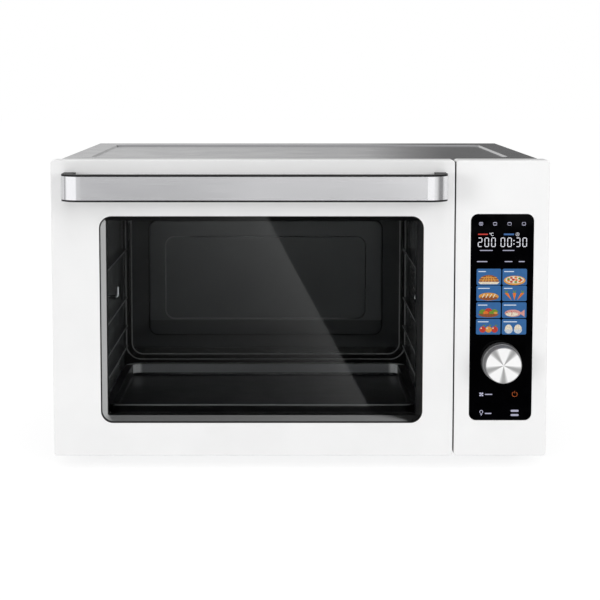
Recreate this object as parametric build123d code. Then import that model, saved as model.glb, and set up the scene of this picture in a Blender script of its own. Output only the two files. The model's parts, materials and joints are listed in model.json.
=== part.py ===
from build123d import *
import os

# A free-standing mini oven with a drop-down door at the left and a control panel at the right.
# Millimetres, +Z up, the door facing -Y. The origin is at the middle of the footprint, on the counter.
# Depths are measured backwards from the door's face, and heights upwards from the counter.

# Outer form
body_height = 331.0
body_depth = 430.0
foot_height = 15.0
body_lift = 2.0
sheet = 1.2
cover_drop = 1.0
cover_inset = 2.0
cover_bend_radius = 5.0
handle_reach = 48.0
gland_reach = 4.0

# Door
door_width = 445.5
door_thickness = 30.0
door_gap = 3.0
seam_width = 1.5
face_thickness = 3.0
skirt = 1.5
face_corner_radius = 3.5
face_edge_radius = 1.0

# Window
window_left_margin = 52.8
window_right_margin = 33.8
window_top_margin = 61.8
window_bottom_margin = 37.2
window_radius = 13.5
window_seal = 0.7
window_glass_thickness = 3.0
window_glass_ledge = 0.4
window_bevel = 4.9
window_throat_radius = 2.0
window_bevel_depth = 10.0
window_flange = 4.0
flush_step = 0.3
inner_glass_overlap = 8.0
inner_glass_radius = 8.0
inner_glass_thickness = 3.5
inner_panel_thickness = 1.5

# Handle
handle_left_margin = 15.0
handle_right_margin = 10.0
handle_height = 29.2
handle_top_margin = 13.2
handle_bar = 13.0
handle_radius = 24.0
handle_inner_radius = 6.0
handle_band_height = 25.3
handle_band_thickness = 1.2
handle_lip_step = 0.4

# Hinge
hinge_height = 9.0
hinge_depth = 11.0
hinge_inset = 17.0
hinge_pin_radius = 3.0
hinge_plate = 3.0
hinge_head_radius = 6.5
hinge_play = 0.5
cradle_plate = 2.0
cradle_rise = 23.0
notch_clearance = 1.0
spring_wire_radius = 0.75
spring_turns = 5
spring_bay = 12.0
spring_clearance = 0.3

# Control panel
panel_width = 103.0
glass_side_margin = 16.5
glass_top_margin = 59.2
glass_bottom_margin = 40.2
glass_radius = 8.0
glass_fit = 0.4
carrier_overlap = 4.0
carrier_thickness = 2.0
screen_side_margin = 5.0
screen_top_margin = 5.0
screen_knob_gap = 10.0
screen_thickness = 7.0
board_thickness = 1.6
board_margin = 3.0
chip_side = 18.0
chip_height = 2.0
plug_inset = 4.0
plug_width = 8.0
plug_length = 32.0
plug_rise = 30.0
plug_height = 8.0
sounder_radius = 6.0
sounder_inset = 12.0
sounder_rise = 50.0
sounder_height = 7.0

# Knob and encoder
knob_height = 106.6
knob_base_radius = 22.2
knob_face_radius = 19.9
knob_reach = 25.0
knob_standoff = 1.9
knob_band = 9.0
knob_step = 0.35
knob_wall = 2.6
knob_cap_thickness = 0.8
knob_cap_margin = 0.6
knob_boss_radius = 6.5
shaft_radius = 3.0
sleeve_wall = 0.6
bushing_hole_clearance = 1.2
running_gap = 0.05
encoder_side = 14.0
knob_travel = 1.2

# Cavity
cavity_side_margin = 7.5
cavity_below_window = 9.2
cavity_above_window = 17.8
cavity_rear_space = 84.0
cavity_sheet = 0.8
seal_width = 6.0
seal_inset = 1.0
seal_clearance = 0.3
ring_width = 6.5
ring_depth = 5.0
ring_radius = 12.0
rear_field_side = 33.0
rear_field_bottom = 52.0
rear_field_top = 54.0
rear_field_rise = 4.0
rear_step = 22.0
rear_step_depth = 2.5

# Rails and tray
rail_heights = (46.3, 74.0, 100.0, 137.0, 200.0)
rail_reach = 8.0
rail_thickness = 3.0
rail_front = 26.0
rail_rear = 45.0
tray_front_gap = 17.0
tray_rear_gap = 30.0
tray_side_gap = 4.8
tray_rim = 8.0
tray_rim_thickness = 1.2
tray_depth = 16.0
tray_wall = 1.2
tray_radius = 12.0
tray_bottom_radius = 3.0

# Heaters
heater_radius = 3.25
heater_drop = 16.0
heater_runs = 4
heater_pitch = 60.0
heater_front = 60.0
heater_side_margin = 34.0
heater_tail = 12.0
clip_width = 9.0
probe_radius = 2.0
probe_length = 110.0
probe_inset = 25.0

# Fan, spit drive and lamp, at the cavity's right wall
partition_gap = 31.0
fan_setback = 221.0
fan_drop = 7.5
fan_radius = 42.0
fan_gap = 4.0
fan_blades = 12
fan_width = 18.0
fan_housing_radius = 48.0
fan_housing_width = 28.0
fan_shaft_clearance = 3.0
motor_radius = 27.0
motor_length = 34.0
motor_edge_radius = 3.0
cooling_radius = 38.0
cooling_width = 9.0
cooling_blades = 5
air_slot = 3.0
air_slot_pitch = 7.0
spit_setback = 104.0
spit_rise = 2.5
spit_radius = 4.0
spit_socket_radius = 7.0
spit_socket_length = 6.5
spit_socket_gap = 0.5
spit_square = 6.0
spit_hook_reach = 13.0
spit_hook_rise = 12.0
spit_hook_radius = 2.0
spit_motor_side = 46.0
spit_motor_length = 20.0
lamp_setback = 267.0
lamp_drop = 40.0
lamp_window_radius = 16.0
lamp_cup_radius = 20.0
lamp_cup_length = 25.0
lamp_wall = 1.5
lamp_glass = 3.0
bulb_radius = 6.5
bulb_length = 18.0
bulb_base = 7.0

# Housing details
field_side_margin = 34.0
field_front_margin = 51.0
field_rear_margin = 48.0
field_depth = 2.0
field_radius = 13.0
slot_width = 4.0
slot_length = 32.0
slot_pitch = 10.0
slot_count = 12
foot_radius = 14.0
foot_base_radius = 11.0
foot_setback = 75.0
foot_inset = 38.0
screw_radius = 2.0
screw_head_radius = 4.2
screw_head = 1.6
gland_radius = 9.0
gland_flange_radius = 13.0
gland_bore_radius = 3.75
gland_inset = 45.0
gland_height = 55.0
gland_length = 14.0
power_board_length = 120.0
power_board_width = 64.0
power_board_height = 10.0
post_radius = 3.0
post_inset = 6.0
part_margin = 8.0
transformer_width = 32.0
transformer_length = 36.0
transformer_height = 28.0
relay_width = 14.0
relay_length = 18.0
relay_height = 15.0
relay_gap = 6.0
relay_count = 3
capacitor_radius = 9.0
capacitor_height = 24.0

# Places worked out from the sizes above
overall_width = door_width + seam_width + panel_width
front_y = handle_reach - (handle_reach + body_depth + gland_reach) / 2
door_left = -overall_width / 2
door_right = door_left + door_width
panel_left = door_right + seam_width
panel_right = overall_width / 2
front_bottom = foot_height
front_top = foot_height + body_height
frame_front = door_thickness + door_gap
frame_rear = frame_front + sheet

cover_half = overall_width / 2 - cover_inset
cover_top = front_top - cover_drop
cover_bottom = foot_height + body_lift
inside_half = cover_half - sheet
inside_top = cover_top - sheet
base_top = cover_bottom + sheet
rear_inside = body_depth - sheet
field_underside = cover_top - field_depth - sheet

window_width = door_width - window_left_margin - window_right_margin
window_height = body_height - window_top_margin - window_bottom_margin
window_x = door_left + window_left_margin + window_width / 2
window_z = front_bottom + window_bottom_margin + window_height / 2

handle_left = door_left + handle_left_margin
handle_right = door_right - handle_right_margin
handle_x = (handle_left + handle_right) / 2
handle_z = front_top - handle_top_margin - handle_height / 2

hinge_z = front_bottom + hinge_height
hinge_places = ((door_left + hinge_inset, 1), (door_right - hinge_inset, -1))

glass_width = panel_width - 2 * glass_side_margin
glass_height = body_height - glass_top_margin - glass_bottom_margin
glass_x = (panel_left + panel_right) / 2
glass_z = front_bottom + glass_bottom_margin + glass_height / 2
carrier_rear = face_thickness + carrier_thickness
board_front = carrier_rear + screen_thickness
knob_z = front_bottom + knob_height
sleeve_radius = shaft_radius + running_gap + sleeve_wall

cavity_width = window_width + 2 * cavity_side_margin
cavity_left = window_x - cavity_width / 2
cavity_right = window_x + cavity_width / 2
cavity_bottom = front_bottom + window_bottom_margin - cavity_below_window
cavity_top = front_top - window_top_margin + cavity_above_window
cavity_rear = body_depth - cavity_rear_space
cavity_x = window_x
cavity_z = (cavity_bottom + cavity_top) / 2
cavity_height = cavity_top - cavity_bottom
partition_x = cavity_right + cavity_sheet + partition_gap
partition_right = partition_x + cavity_sheet

rail_tops = [front_bottom + height for height in rail_heights]
rail_span = (frame_rear + rail_front, cavity_rear - rail_rear)
tray_front = frame_rear + tray_front_gap
tray_rear = cavity_rear - tray_rear_gap
tray_half = cavity_width / 2 - tray_side_gap
tray_top = rail_tops[0] + tray_rim_thickness

heater_top_z = cavity_top - heater_drop
heater_bottom_z = cavity_bottom - cavity_sheet - (cavity_bottom - base_top) / 3
fan_depth = frame_rear + fan_setback
fan_z = cavity_z - fan_drop
spit_depth = frame_rear + spit_setback
spit_z = cavity_z + spit_rise
lamp_depth = frame_rear + lamp_setback
lamp_z = cavity_top - lamp_drop
motor_right = partition_right + motor_length
gland_x = panel_right - gland_inset
gland_z = front_bottom + gland_height


def at(x, depth, z):
    return Vector(x, front_y + depth, z)


def slab(x_span, depth_span, z_span):
    """A box between two x places, two depths and two heights."""
    low = at(x_span[0], depth_span[0], z_span[0])
    high = at(x_span[1], depth_span[1], z_span[1])
    size = high - low
    return Pos(*((low + high) / 2)) * Box(size.X, size.Y, size.Z)


def facing_plane(x, depth, z):
    return Plane(origin=at(x, depth, z), x_dir=(1, 0, 0), z_dir=(0, 1, 0))


def facing_plate(centre, size, radius, near, far, taper=0.0):
    """A rounded rectangle parallel to the door's face, from one depth to another."""
    outline = RectangleRounded(size[0], size[1], radius)
    return extrude(facing_plane(centre[0], near, centre[1]) * outline, far - near, taper=taper)


def facing_ring(centre, outer, inner, radius, near, far):
    wall = (outer[0] - inner[0]) / 2
    hole = facing_plate(centre, inner, max(radius - wall, 0.5), near - 1, far + 1)
    return facing_plate(centre, outer, radius, near, far) - hole


def rod(start, end, radius):
    start = Vector(start)
    run = Vector(end) - start
    return extrude(Plane(origin=start, z_dir=run) * Circle(radius), run.length)


def across(x_span, depth, z, radius):
    """A round bar along X."""
    return rod(at(x_span[0], depth, z), at(x_span[1], depth, z), radius)


def along(depth_span, x, z, radius):
    """A round bar along the depth."""
    return rod(at(x, depth_span[0], z), at(x, depth_span[1], z), radius)


def grown(size, margin):
    return (size[0] + 2 * margin, size[1] + 2 * margin)


# Housing

def top_field(lift, margin, upper):
    """The sunken field of the top, from its floor up to a height."""
    width = 2 * (cover_half - field_side_margin + margin)
    near = frame_front + field_front_margin - margin
    far = body_depth - field_rear_margin + margin
    centre = at(0, (near + far) / 2, lift)
    outline = RectangleRounded(width, far - near, field_radius + margin)
    flare = -45 if margin == 0 else 0
    return extrude(Plane(origin=centre) * outline, upper - lift, taper=flare)


def side_slots(depth_start, z_middle):
    """Upright slots through the cover's right side."""
    slots = []
    for index in range(slot_count):
        depth = depth_start - index * slot_pitch
        plane = Plane(origin=at(inside_half - 1, depth, z_middle), x_dir=(0, 0, 1), z_dir=(1, 0, 0))
        slots.append(extrude(plane * SlotOverall(slot_length, slot_width), sheet + 2))
    return slots


def rear_slots(x_start, step, count, z_middle):
    """Upright slots through the rear cover."""
    slots = []
    for index in range(count):
        start = at(x_start + index * step, rear_inside - 1, z_middle)
        plane = Plane(origin=start, x_dir=(0, 0, 1), z_dir=(0, 1, 0))
        slots.append(extrude(plane * SlotOverall(slot_length, slot_width), sheet + 2))
    return slots


def housing_cover():
    outer = slab((-cover_half, cover_half), (frame_front, body_depth), (cover_bottom, cover_top))
    outer = fillet(outer.edges().filter_by(Axis.Y).group_by(Axis.Z)[-1], cover_bend_radius)
    through = (frame_front - 1, body_depth + 1)
    inner = slab((-inside_half, inside_half), through, (cover_bottom - 1, inside_top))
    inner = fillet(inner.edges().filter_by(Axis.Y).group_by(Axis.Z)[-1], cover_bend_radius - sheet)
    cover = outer - inner
    cover = cover + top_field(field_underside, field_depth + sheet, cover_top - sheet / 2)
    cover = cover - top_field(cover_top - field_depth, 0, cover_top)
    slot_start = rear_inside - 2 * slot_pitch
    upper_slots = side_slots(slot_start, cover_top - 2 * slot_length)
    lower_slots = side_slots(slot_start, cover_bottom + 2 * slot_length)
    return cover - upper_slots - lower_slots


def rear_cover():
    plate = slab((-inside_half, inside_half), (rear_inside, body_depth), (cover_bottom, inside_top))
    corner = cover_bend_radius - sheet
    plate = fillet(plate.edges().filter_by(Axis.Y).group_by(Axis.Z)[-1], corner)
    bay_left = partition_right + 2 * slot_pitch
    plate = plate - rear_slots(bay_left, slot_pitch, slot_count // 2, cover_top - 2 * slot_length)
    plate = plate - rear_slots(bay_left, slot_pitch, slot_count // 2, cover_top - 4 * slot_length)
    plate = plate - rear_slots(cavity_left, 2 * slot_pitch, slot_count + 4, cover_bottom + slot_length)
    for x, z in rear_screw_places():
        plate = plate - along((rear_inside - 1, body_depth + 1), x, z, screw_radius + running_gap)
    return plate - along((rear_inside - 1, body_depth + 1), gland_x, gland_z, gland_radius)


def rear_screw_places():
    reach = inside_half - 4 * screw_head_radius
    low = cover_bottom + 3 * screw_head_radius
    high = inside_top - 3 * screw_head_radius
    return [(x, z) for x in (-reach, 0, reach) for z in (low, high)]


def rear_screws():
    screws = []
    for x, z in rear_screw_places():
        shank = along((rear_inside - 4 * sheet, body_depth + screw_head / 2), x, z, screw_radius)
        head = along((body_depth, body_depth + screw_head), x, z, screw_head_radius)
        head = chamfer(head.edges().group_by(Axis.Y)[-1], screw_head / 3)
        screws.append(shank + head)
    return Part() + screws


def foot_places():
    near = foot_setback
    far = body_depth - foot_setback + foot_radius
    reach = cover_half - foot_inset
    return {
        "front_left": (-reach, near),
        "front_right": (reach, near),
        "rear_left": (-reach, far),
        "rear_right": (reach, far),
    }


def base_plate():
    plate = slab((-inside_half, inside_half), (frame_rear, rear_inside), (cover_bottom, base_top))
    for x, depth in foot_places().values():
        hole = rod(at(x, depth, cover_bottom - 1), at(x, depth, base_top + 1), screw_radius + running_gap)
        plate = plate - hole
    slot = SlotOverall(2 * slot_length, slot_width)
    first_x = cavity_x - (slot_count - 1) * slot_pitch
    for index in range(slot_count):
        start = at(first_x + index * 2 * slot_pitch, body_depth / 2, cover_bottom - 1)
        plate = plate - extrude(Plane(origin=start, x_dir=(0, 1, 0)) * slot, sheet + 2)
    return plate


def foot(x, depth):
    cone = Cone(foot_base_radius, foot_radius, cover_bottom, align=(Align.CENTER, Align.CENTER, Align.MIN))
    body = Pos(*at(x, depth, 0)) * cone
    body = fillet(body.edges().group_by(Axis.Z)[0], 1.0)
    return body - rod(at(x, depth, cover_bottom / 2), at(x, depth, cover_bottom + 1), screw_radius)


def foot_screws():
    screws = []
    for x, depth in foot_places().values():
        shank = rod(at(x, depth, cover_bottom / 2), at(x, depth, base_top + screw_head / 2), screw_radius)
        head = rod(at(x, depth, base_top), at(x, depth, base_top + screw_head), screw_head_radius)
        screws.append(shank + head)
    return Part() + screws


def front_frame():
    plate = slab((-inside_half, inside_half), (frame_front, frame_rear), (cover_bottom, inside_top))
    corner = cover_bend_radius - sheet
    plate = fillet(plate.edges().filter_by(Axis.Y).group_by(Axis.Z)[-1], corner)
    opening = (cavity_width, cavity_height)
    plate = plate - facing_plate((cavity_x, cavity_z), opening, ring_radius, frame_front - 1, frame_rear + 1)
    bay = slab(
        (partition_right + 2 * sheet, inside_half - 4 * sheet),
        (frame_front - 1, frame_rear + 1),
        (front_bottom + glass_bottom_margin / 2, front_top - glass_top_margin / 2),
    )
    plate = plate - bay
    for x, _ in hinge_places:
        plate = plate - hinge_arm(x, frame_front - 1, frame_rear + 1)
    return plate


def hinge_arm(x, near, far):
    half = hinge_plate / 2
    return slab((x - half, x + half), (near, far), (hinge_z - hinge_head_radius, hinge_z + hinge_head_radius))


def hinge_brackets():
    """Two arms through the front frame, each with the bore that the door turns on."""
    brackets = []
    for x, _ in hinge_places:
        half = hinge_plate / 2
        arm = hinge_arm(x, hinge_depth, frame_rear)
        arm = arm + across((x - half, x + half), hinge_depth, hinge_z, hinge_head_radius)
        arm = arm - across((x - half - 1, x + half + 1), hinge_depth, hinge_z, hinge_pin_radius + running_gap)
        span = (x - half - hinge_head_radius, x + half + hinge_head_radius)
        flange = slab(span, (frame_rear, frame_rear + 2 * sheet), (base_top, hinge_z + 3 * hinge_head_radius))
        brackets.append(arm + flange)
    return Part() + brackets


def door_seal():
    outer = grown((cavity_width, cavity_height), seal_width)
    inner = grown((cavity_width, cavity_height), seal_inset)
    centre = (cavity_x, cavity_z)
    near = door_thickness + seal_clearance
    return facing_ring(centre, outer, inner, ring_radius + seal_width, near, frame_front)


# Cavity

def cavity_side_left():
    span = (cavity_left - cavity_sheet, cavity_left)
    return slab(span, (frame_rear, cavity_rear), (cavity_bottom, cavity_top))


def cavity_side_right():
    span = (cavity_right, cavity_right + cavity_sheet)
    through = (cavity_right - 1, cavity_right + cavity_sheet + 1)
    wall = slab(span, (frame_rear, cavity_rear), (cavity_bottom, cavity_top))
    wall = wall - across(through, lamp_depth, lamp_z, lamp_window_radius)
    wall = wall - across(through, spit_depth, spit_z, spit_radius + spit_socket_gap)
    for depth in (heater_depth(0), heater_depth(heater_runs - 1)):
        wall = wall - across(through, depth, heater_top_z, heater_radius + running_gap)
    return wall - air_slots()


def air_slots():
    """Level slots before the fan, left out where a rail runs."""
    slots = []
    reach = int(fan_radius / air_slot_pitch)
    for row in range(-reach, reach + 1):
        z = fan_z + row * air_slot_pitch
        half = (fan_radius ** 2 - (z - fan_z) ** 2) ** 0.5
        near_rail = min(abs(z + rail_thickness / 2 - top) for top in rail_tops) < rail_thickness + air_slot
        if near_rail or half < 3 * air_slot:
            continue
        plane = Plane(origin=at(cavity_right - 1, fan_depth, z), x_dir=(0, 1, 0), z_dir=(1, 0, 0))
        slots.append(extrude(plane * SlotOverall(2 * half, air_slot), cavity_sheet + 2))
    return slots


def cavity_roof():
    x_span = (cavity_left - cavity_sheet, cavity_right + cavity_sheet)
    return slab(x_span, (frame_rear, cavity_rear), (cavity_top, cavity_top + cavity_sheet))


def cavity_floor():
    x_span = (cavity_left - cavity_sheet, cavity_right + cavity_sheet)
    return slab(x_span, (frame_rear, cavity_rear), (cavity_bottom - cavity_sheet, cavity_bottom))


def cavity_back():
    """The rear wall: a bevelled ring inside the walls and a raised field with a shallow step in it."""
    centre = (cavity_x, cavity_z)
    full = (cavity_width, cavity_height)
    rear = cavity_rear + cavity_sheet
    plate = slab(
        (cavity_left - cavity_sheet, cavity_right + cavity_sheet),
        (cavity_rear, rear),
        (cavity_bottom - cavity_sheet, cavity_top + cavity_sheet),
    )
    ring_front = cavity_rear - ring_depth
    band = slab((cavity_left, cavity_right), (ring_front, cavity_rear), (cavity_bottom, cavity_top))
    mouth = RectangleRounded(*grown(full, -1), ring_radius + ring_width)
    floor = RectangleRounded(*grown(full, -ring_width), ring_radius)
    bevel = loft([
        facing_plane(cavity_x, ring_front, cavity_z) * mouth,
        facing_plane(cavity_x, cavity_rear, cavity_z) * floor,
    ])
    plate = plate + (band - bevel)
    field_width = cavity_width - 2 * rear_field_side
    field_low = cavity_bottom + rear_field_bottom
    field_high = cavity_top - rear_field_top
    field_centre = (cavity_x, (field_low + field_high) / 2)
    field_size = (field_width, field_high - field_low)
    field = facing_plate(field_centre, field_size, ring_radius, cavity_rear - rear_field_rise, cavity_rear)
    field = fillet(field.faces().sort_by(Axis.Y)[0].edges(), rear_field_rise * 0.6)
    step = facing_plate(
        field_centre,
        grown(field_size, -rear_step),
        ring_radius,
        cavity_rear - rear_field_rise - 1,
        cavity_rear - rear_field_rise + rear_step_depth,
    )
    plate = plate + field - step
    return plate - along((cavity_rear - 1, rear + 1), probe_x(), probe_z(), probe_radius + running_gap)


def rails(wall_x, inward):
    """Ledges on a thin liner, for one side wall."""
    liner_x = wall_x + inward * cavity_sheet
    tip_x = wall_x + inward * (cavity_sheet + rail_reach)
    pieces = []
    for top in rail_tops:
        ledge = slab(sorted((wall_x, tip_x)), rail_span, (top - rail_thickness, top))
        tip_edges = ledge.edges().filter_by(Axis.Y).sort_by(Axis.X)
        tip_edges = tip_edges[-2:] if inward > 0 else tip_edges[:2]
        pieces.append(fillet(tip_edges, rail_thickness * 0.35))
    for depth in rail_span:
        post = (depth - rail_thickness / 2, depth + rail_thickness / 2)
        low = rail_tops[0] - rail_thickness
        pieces.append(slab(sorted((wall_x, liner_x + inward * rail_thickness)), post, (low, rail_tops[-1])))
    return Part() + pieces


def rack_rails_left():
    return rails(cavity_left, 1)


def rack_rails_right():
    return rails(cavity_right, -1)


def baking_tray():
    width = 2 * tray_half
    length = tray_rear - tray_front
    centre = at(cavity_x, (tray_front + tray_rear) / 2, 0)
    pan_size = (width - 2 * tray_rim, length - 2 * tray_rim)
    bottom = tray_top - tray_depth

    def layer(size, radius, low, high, flare=0.0):
        plane = Plane(origin=(centre.X, centre.Y, low))
        return extrude(plane * RectangleRounded(size[0], size[1], radius), high - low, taper=flare)

    rim = layer((width, length), tray_radius + tray_rim, tray_top - tray_rim_thickness, tray_top)
    outside = layer(pan_size, tray_radius, bottom, tray_top - tray_rim_thickness / 2)
    outside = fillet(outside.edges().group_by(Axis.Z)[0], tray_bottom_radius)
    inside = layer(grown(pan_size, -tray_wall), tray_radius - tray_wall, bottom + tray_wall, tray_top + 1)
    inside = fillet(inside.edges().group_by(Axis.Z)[0], tray_bottom_radius - tray_wall / 2)
    return rim + outside - inside


# Heaters and probe

def heater_depth(run):
    return frame_rear + heater_front + run * heater_pitch


def heater(z):
    """A tube that goes to and fro across the cavity, with both tails at the right wall."""
    near_x = cavity_right - heater_side_margin
    far_x = cavity_left + heater_side_margin
    tail_x = cavity_right + cavity_sheet + heater_tail
    points = [at(tail_x, heater_depth(0), z)]
    for run in range(heater_runs):
        turn_x = far_x if run % 2 == 0 else near_x
        if run < heater_runs - 1:
            points.append(at(turn_x, heater_depth(run), z))
            points.append(at(turn_x, heater_depth(run + 1), z))
    points.append(at(tail_x, heater_depth(heater_runs - 1), z))
    path = FilletPolyline(*points, radius=heater_pitch * 0.4)
    return sweep(Plane(origin=path @ 0, z_dir=path % 0) * Circle(heater_radius), path=path)


def heater_top():
    return heater(heater_top_z)


def heater_bottom():
    return heater(heater_bottom_z)


def heater_clips():
    """Saddles that hold each run to the roof, or to the underside of the floor."""
    clips = []
    clip_x = cavity_x + cavity_width / 4
    for tube_z, seat_z in ((heater_top_z, cavity_top), (heater_bottom_z, cavity_bottom - cavity_sheet)):
        for run in range(heater_runs):
            for x in (clip_x - cavity_width / 2, clip_x):
                depth = heater_depth(run)
                half = heater_radius + cavity_sheet
                span = (x - clip_width / 2, x + clip_width / 2)
                block = slab(span, (depth - half, depth + half), (tube_z, seat_z))
                saddle = across((span[0] - 1, span[1] + 1), depth, tube_z, heater_radius + running_gap)
                clips.append(block - saddle)
    return Part() + clips


def probe_x():
    return cavity_right - probe_inset


def probe_z():
    return cavity_top - probe_inset


def thermostat_probe():
    tube = along((cavity_rear - probe_length, cavity_rear + 3 * sheet), probe_x(), probe_z(), probe_radius)
    tube = fillet(tube.edges().group_by(Axis.Y)[0], probe_radius * 0.9)
    collar_span = (cavity_rear + cavity_sheet, cavity_rear + 3 * sheet)
    return tube + along(collar_span, probe_x(), probe_z(), 2 * probe_radius)


# Right-hand bay

def partition():
    wall = slab((partition_x, partition_right), (frame_rear, rear_inside), (base_top, field_underside))
    through = (partition_x - 1, partition_right + 1)
    wall = wall - across(through, fan_depth, fan_z, shaft_radius + fan_shaft_clearance)
    return wall - across(through, spit_depth, spit_z, spit_radius + spit_socket_gap)


def fan_housing():
    left = cavity_right + cavity_sheet
    right = left + fan_housing_width
    drum = across((left, right), fan_depth, fan_z, fan_housing_radius)
    hollow = across((left - 1, right - cavity_sheet), fan_depth, fan_z, fan_housing_radius - cavity_sheet)
    hole = across((left, right + 1), fan_depth, fan_z, shaft_radius + fan_shaft_clearance)
    return drum - hollow - hole


def blade_ring(x_span, radius, hub_radius, count, thickness):
    """Flat blades round a hub, on the fan's shaft."""
    hub = across(x_span, fan_depth, fan_z, hub_radius)
    blades = []
    centre = at(0, fan_depth, fan_z)
    for index in range(count):
        turn = Pos(0, centre.Y, centre.Z) * Rot(360 / count * index, 0, 0)
        reach = radius - hub_radius / 2
        middle = ((x_span[0] + x_span[1]) / 2, 0, hub_radius / 2 + reach / 2)
        blades.append(turn * Pos(*middle) * Box(x_span[1] - x_span[0], thickness, reach))
    shape = hub + blades
    return shape - across((x_span[0] - 1, x_span[1] + 1), fan_depth, fan_z, shaft_radius)


def fan_impeller():
    left = cavity_right + cavity_sheet + fan_gap
    right = left + fan_width
    disc = across((right - cavity_sheet, right), fan_depth, fan_z, fan_radius)
    disc = disc - across((left, right + 1), fan_depth, fan_z, shaft_radius)
    return blade_ring((left, right), fan_radius, 3 * shaft_radius, fan_blades, cavity_sheet) + disc


def fan_shaft():
    left = cavity_right + cavity_sheet + fan_gap
    right = motor_right + fan_gap + cooling_width
    return across((left, right), fan_depth, fan_z, shaft_radius)


def cooling_blade():
    left = motor_right + fan_gap
    span = (left, left + cooling_width)
    return blade_ring(span, cooling_radius, 3 * shaft_radius, cooling_blades, 2 * cavity_sheet)


def fan_motor():
    body = across((partition_right, motor_right), fan_depth, fan_z, motor_radius)
    body = fillet(body.edges().group_by(Axis.X)[-1], motor_edge_radius)
    return body - across((partition_right - 1, motor_right + 1), fan_depth, fan_z, shaft_radius + running_gap)


def spit_hook():
    """A chromed hook at the left wall that carries the free end of a spit."""
    foot_span = (cavity_left, cavity_left + cavity_sheet)
    disc = across(foot_span, spit_depth, spit_z, 3 * spit_hook_radius)
    corner_x = cavity_left + spit_hook_reach
    path = FilletPolyline(
        at(cavity_left, spit_depth, spit_z),
        at(corner_x, spit_depth, spit_z),
        at(corner_x, spit_depth, spit_z + spit_hook_rise),
        radius=1.5 * spit_hook_radius,
    )
    return disc + sweep(Plane(origin=path @ 0, z_dir=path % 0) * Circle(spit_hook_radius), path=path)


def spit_drive():
    """The chromed socket at the right wall that turns a spit, with its shaft."""
    socket_right = cavity_right - spit_socket_gap
    socket_left = socket_right - spit_socket_length
    head = across((socket_left, socket_right), spit_depth, spit_z, spit_socket_radius)
    head = fillet(head.edges().group_by(Axis.X)[0], 1.0)
    half = spit_square / 2
    pocket = slab(
        (socket_left - 1, socket_right - 1.5),
        (spit_depth - half, spit_depth + half),
        (spit_z - half, spit_z + half),
    )
    shaft_end = partition_right + spit_motor_length / 2
    return head - pocket + across((socket_right - 1, shaft_end), spit_depth, spit_z, spit_radius)


def spit_motor():
    half = spit_motor_side / 2
    box = slab(
        (partition_right, partition_right + spit_motor_length),
        (spit_depth - half, spit_depth + half),
        (spit_z - half, spit_z + half),
    )
    bore_end = partition_right + spit_motor_length / 2 + spit_socket_gap
    return box - across((partition_right - 1, bore_end), spit_depth, spit_z, spit_radius + running_gap)


def lamp_holder():
    left = cavity_right + cavity_sheet
    right = left + lamp_cup_length
    cup = across((left, right), lamp_depth, lamp_z, lamp_cup_radius)
    return cup - across((left - 1, right - lamp_wall), lamp_depth, lamp_z, lamp_cup_radius - lamp_wall)


def lamp_lens():
    left = cavity_right + cavity_sheet
    return across((left, left + lamp_glass), lamp_depth, lamp_z, lamp_cup_radius - lamp_wall - running_gap)


def lamp_bulb():
    right = cavity_right + cavity_sheet + lamp_cup_length - lamp_wall
    base = across((right - bulb_base, right), lamp_depth, lamp_z, bulb_radius * 0.8)
    bulb = across((right - bulb_length, right - bulb_base), lamp_depth, lamp_z, bulb_radius)
    bulb = fillet(bulb.edges().group_by(Axis.X)[0], bulb_radius * 0.8)
    return base + bulb


# Door

def door_face():
    """The white front, a shallow pan with skirts, open at the window and at the hinges."""
    centre = ((door_left + door_right) / 2, (front_bottom + front_top) / 2)
    size = (door_width, body_height)
    pan = facing_plate(centre, size, face_corner_radius, 0, door_thickness)
    pan = fillet(pan.faces().sort_by(Axis.Y)[0].edges(), face_edge_radius)
    inner_radius = face_corner_radius - skirt
    hollow = facing_plate(centre, grown(size, -skirt), inner_radius, face_thickness, door_thickness + 1)
    opening = (window_width, window_height)
    window = facing_plate((window_x, window_z), opening, window_radius, -1, face_thickness + 1)
    return pan - hollow - window - hinge_notches()


def hinge_notches():
    """Room for the arms as the door turns, through its lower skirt and its rear."""
    notches = []
    for x, _ in hinge_places:
        half = hinge_plate / 2 + notch_clearance
        top = hinge_z + hinge_head_radius + notch_clearance
        near = hinge_depth - hinge_head_radius - notch_clearance
        notches.append(slab((x - half, x + half), (near, door_thickness + 1), (front_bottom - 1, top)))
    return notches


def window_bezel():
    """The seal round the glass and the bevelled tunnel behind it."""
    centre = (window_x, window_z)
    size = (window_width, window_height)
    glass = grown(size, -window_seal)
    mouth = grown(glass, -window_glass_ledge)
    throat = grown(mouth, -window_bevel)
    seat = flush_step + window_glass_thickness
    bevel_end = seat + window_bevel_depth
    rear = door_thickness - inner_panel_thickness - inner_glass_thickness
    body = facing_plate(centre, size, window_radius, flush_step, rear)
    flange = grown(size, window_flange)
    body = body + facing_plate(centre, flange, window_radius, face_thickness, 2 * face_thickness)
    pocket = facing_plate(centre, glass, window_radius - window_seal, -1, seat)
    bevel = loft([
        facing_plane(window_x, seat, window_z) * RectangleRounded(*mouth, window_radius - window_seal),
        facing_plane(window_x, bevel_end, window_z) * RectangleRounded(*throat, window_throat_radius),
    ])
    tunnel = facing_plate(centre, throat, window_throat_radius, bevel_end, rear + 1)
    return body - pocket - bevel - tunnel


def window_glass():
    size = grown((window_width, window_height), -window_seal)
    far = flush_step + window_glass_thickness
    return facing_plate((window_x, window_z), size, window_radius - window_seal, flush_step, far)


def throat_size():
    return grown((window_width, window_height), -window_seal - window_glass_ledge - window_bevel)


def door_inner_glass():
    size = grown(throat_size(), inner_glass_overlap)
    rear = door_thickness - inner_panel_thickness
    return facing_plate((window_x, window_z), size, inner_glass_radius, rear - inner_glass_thickness, rear)


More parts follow.
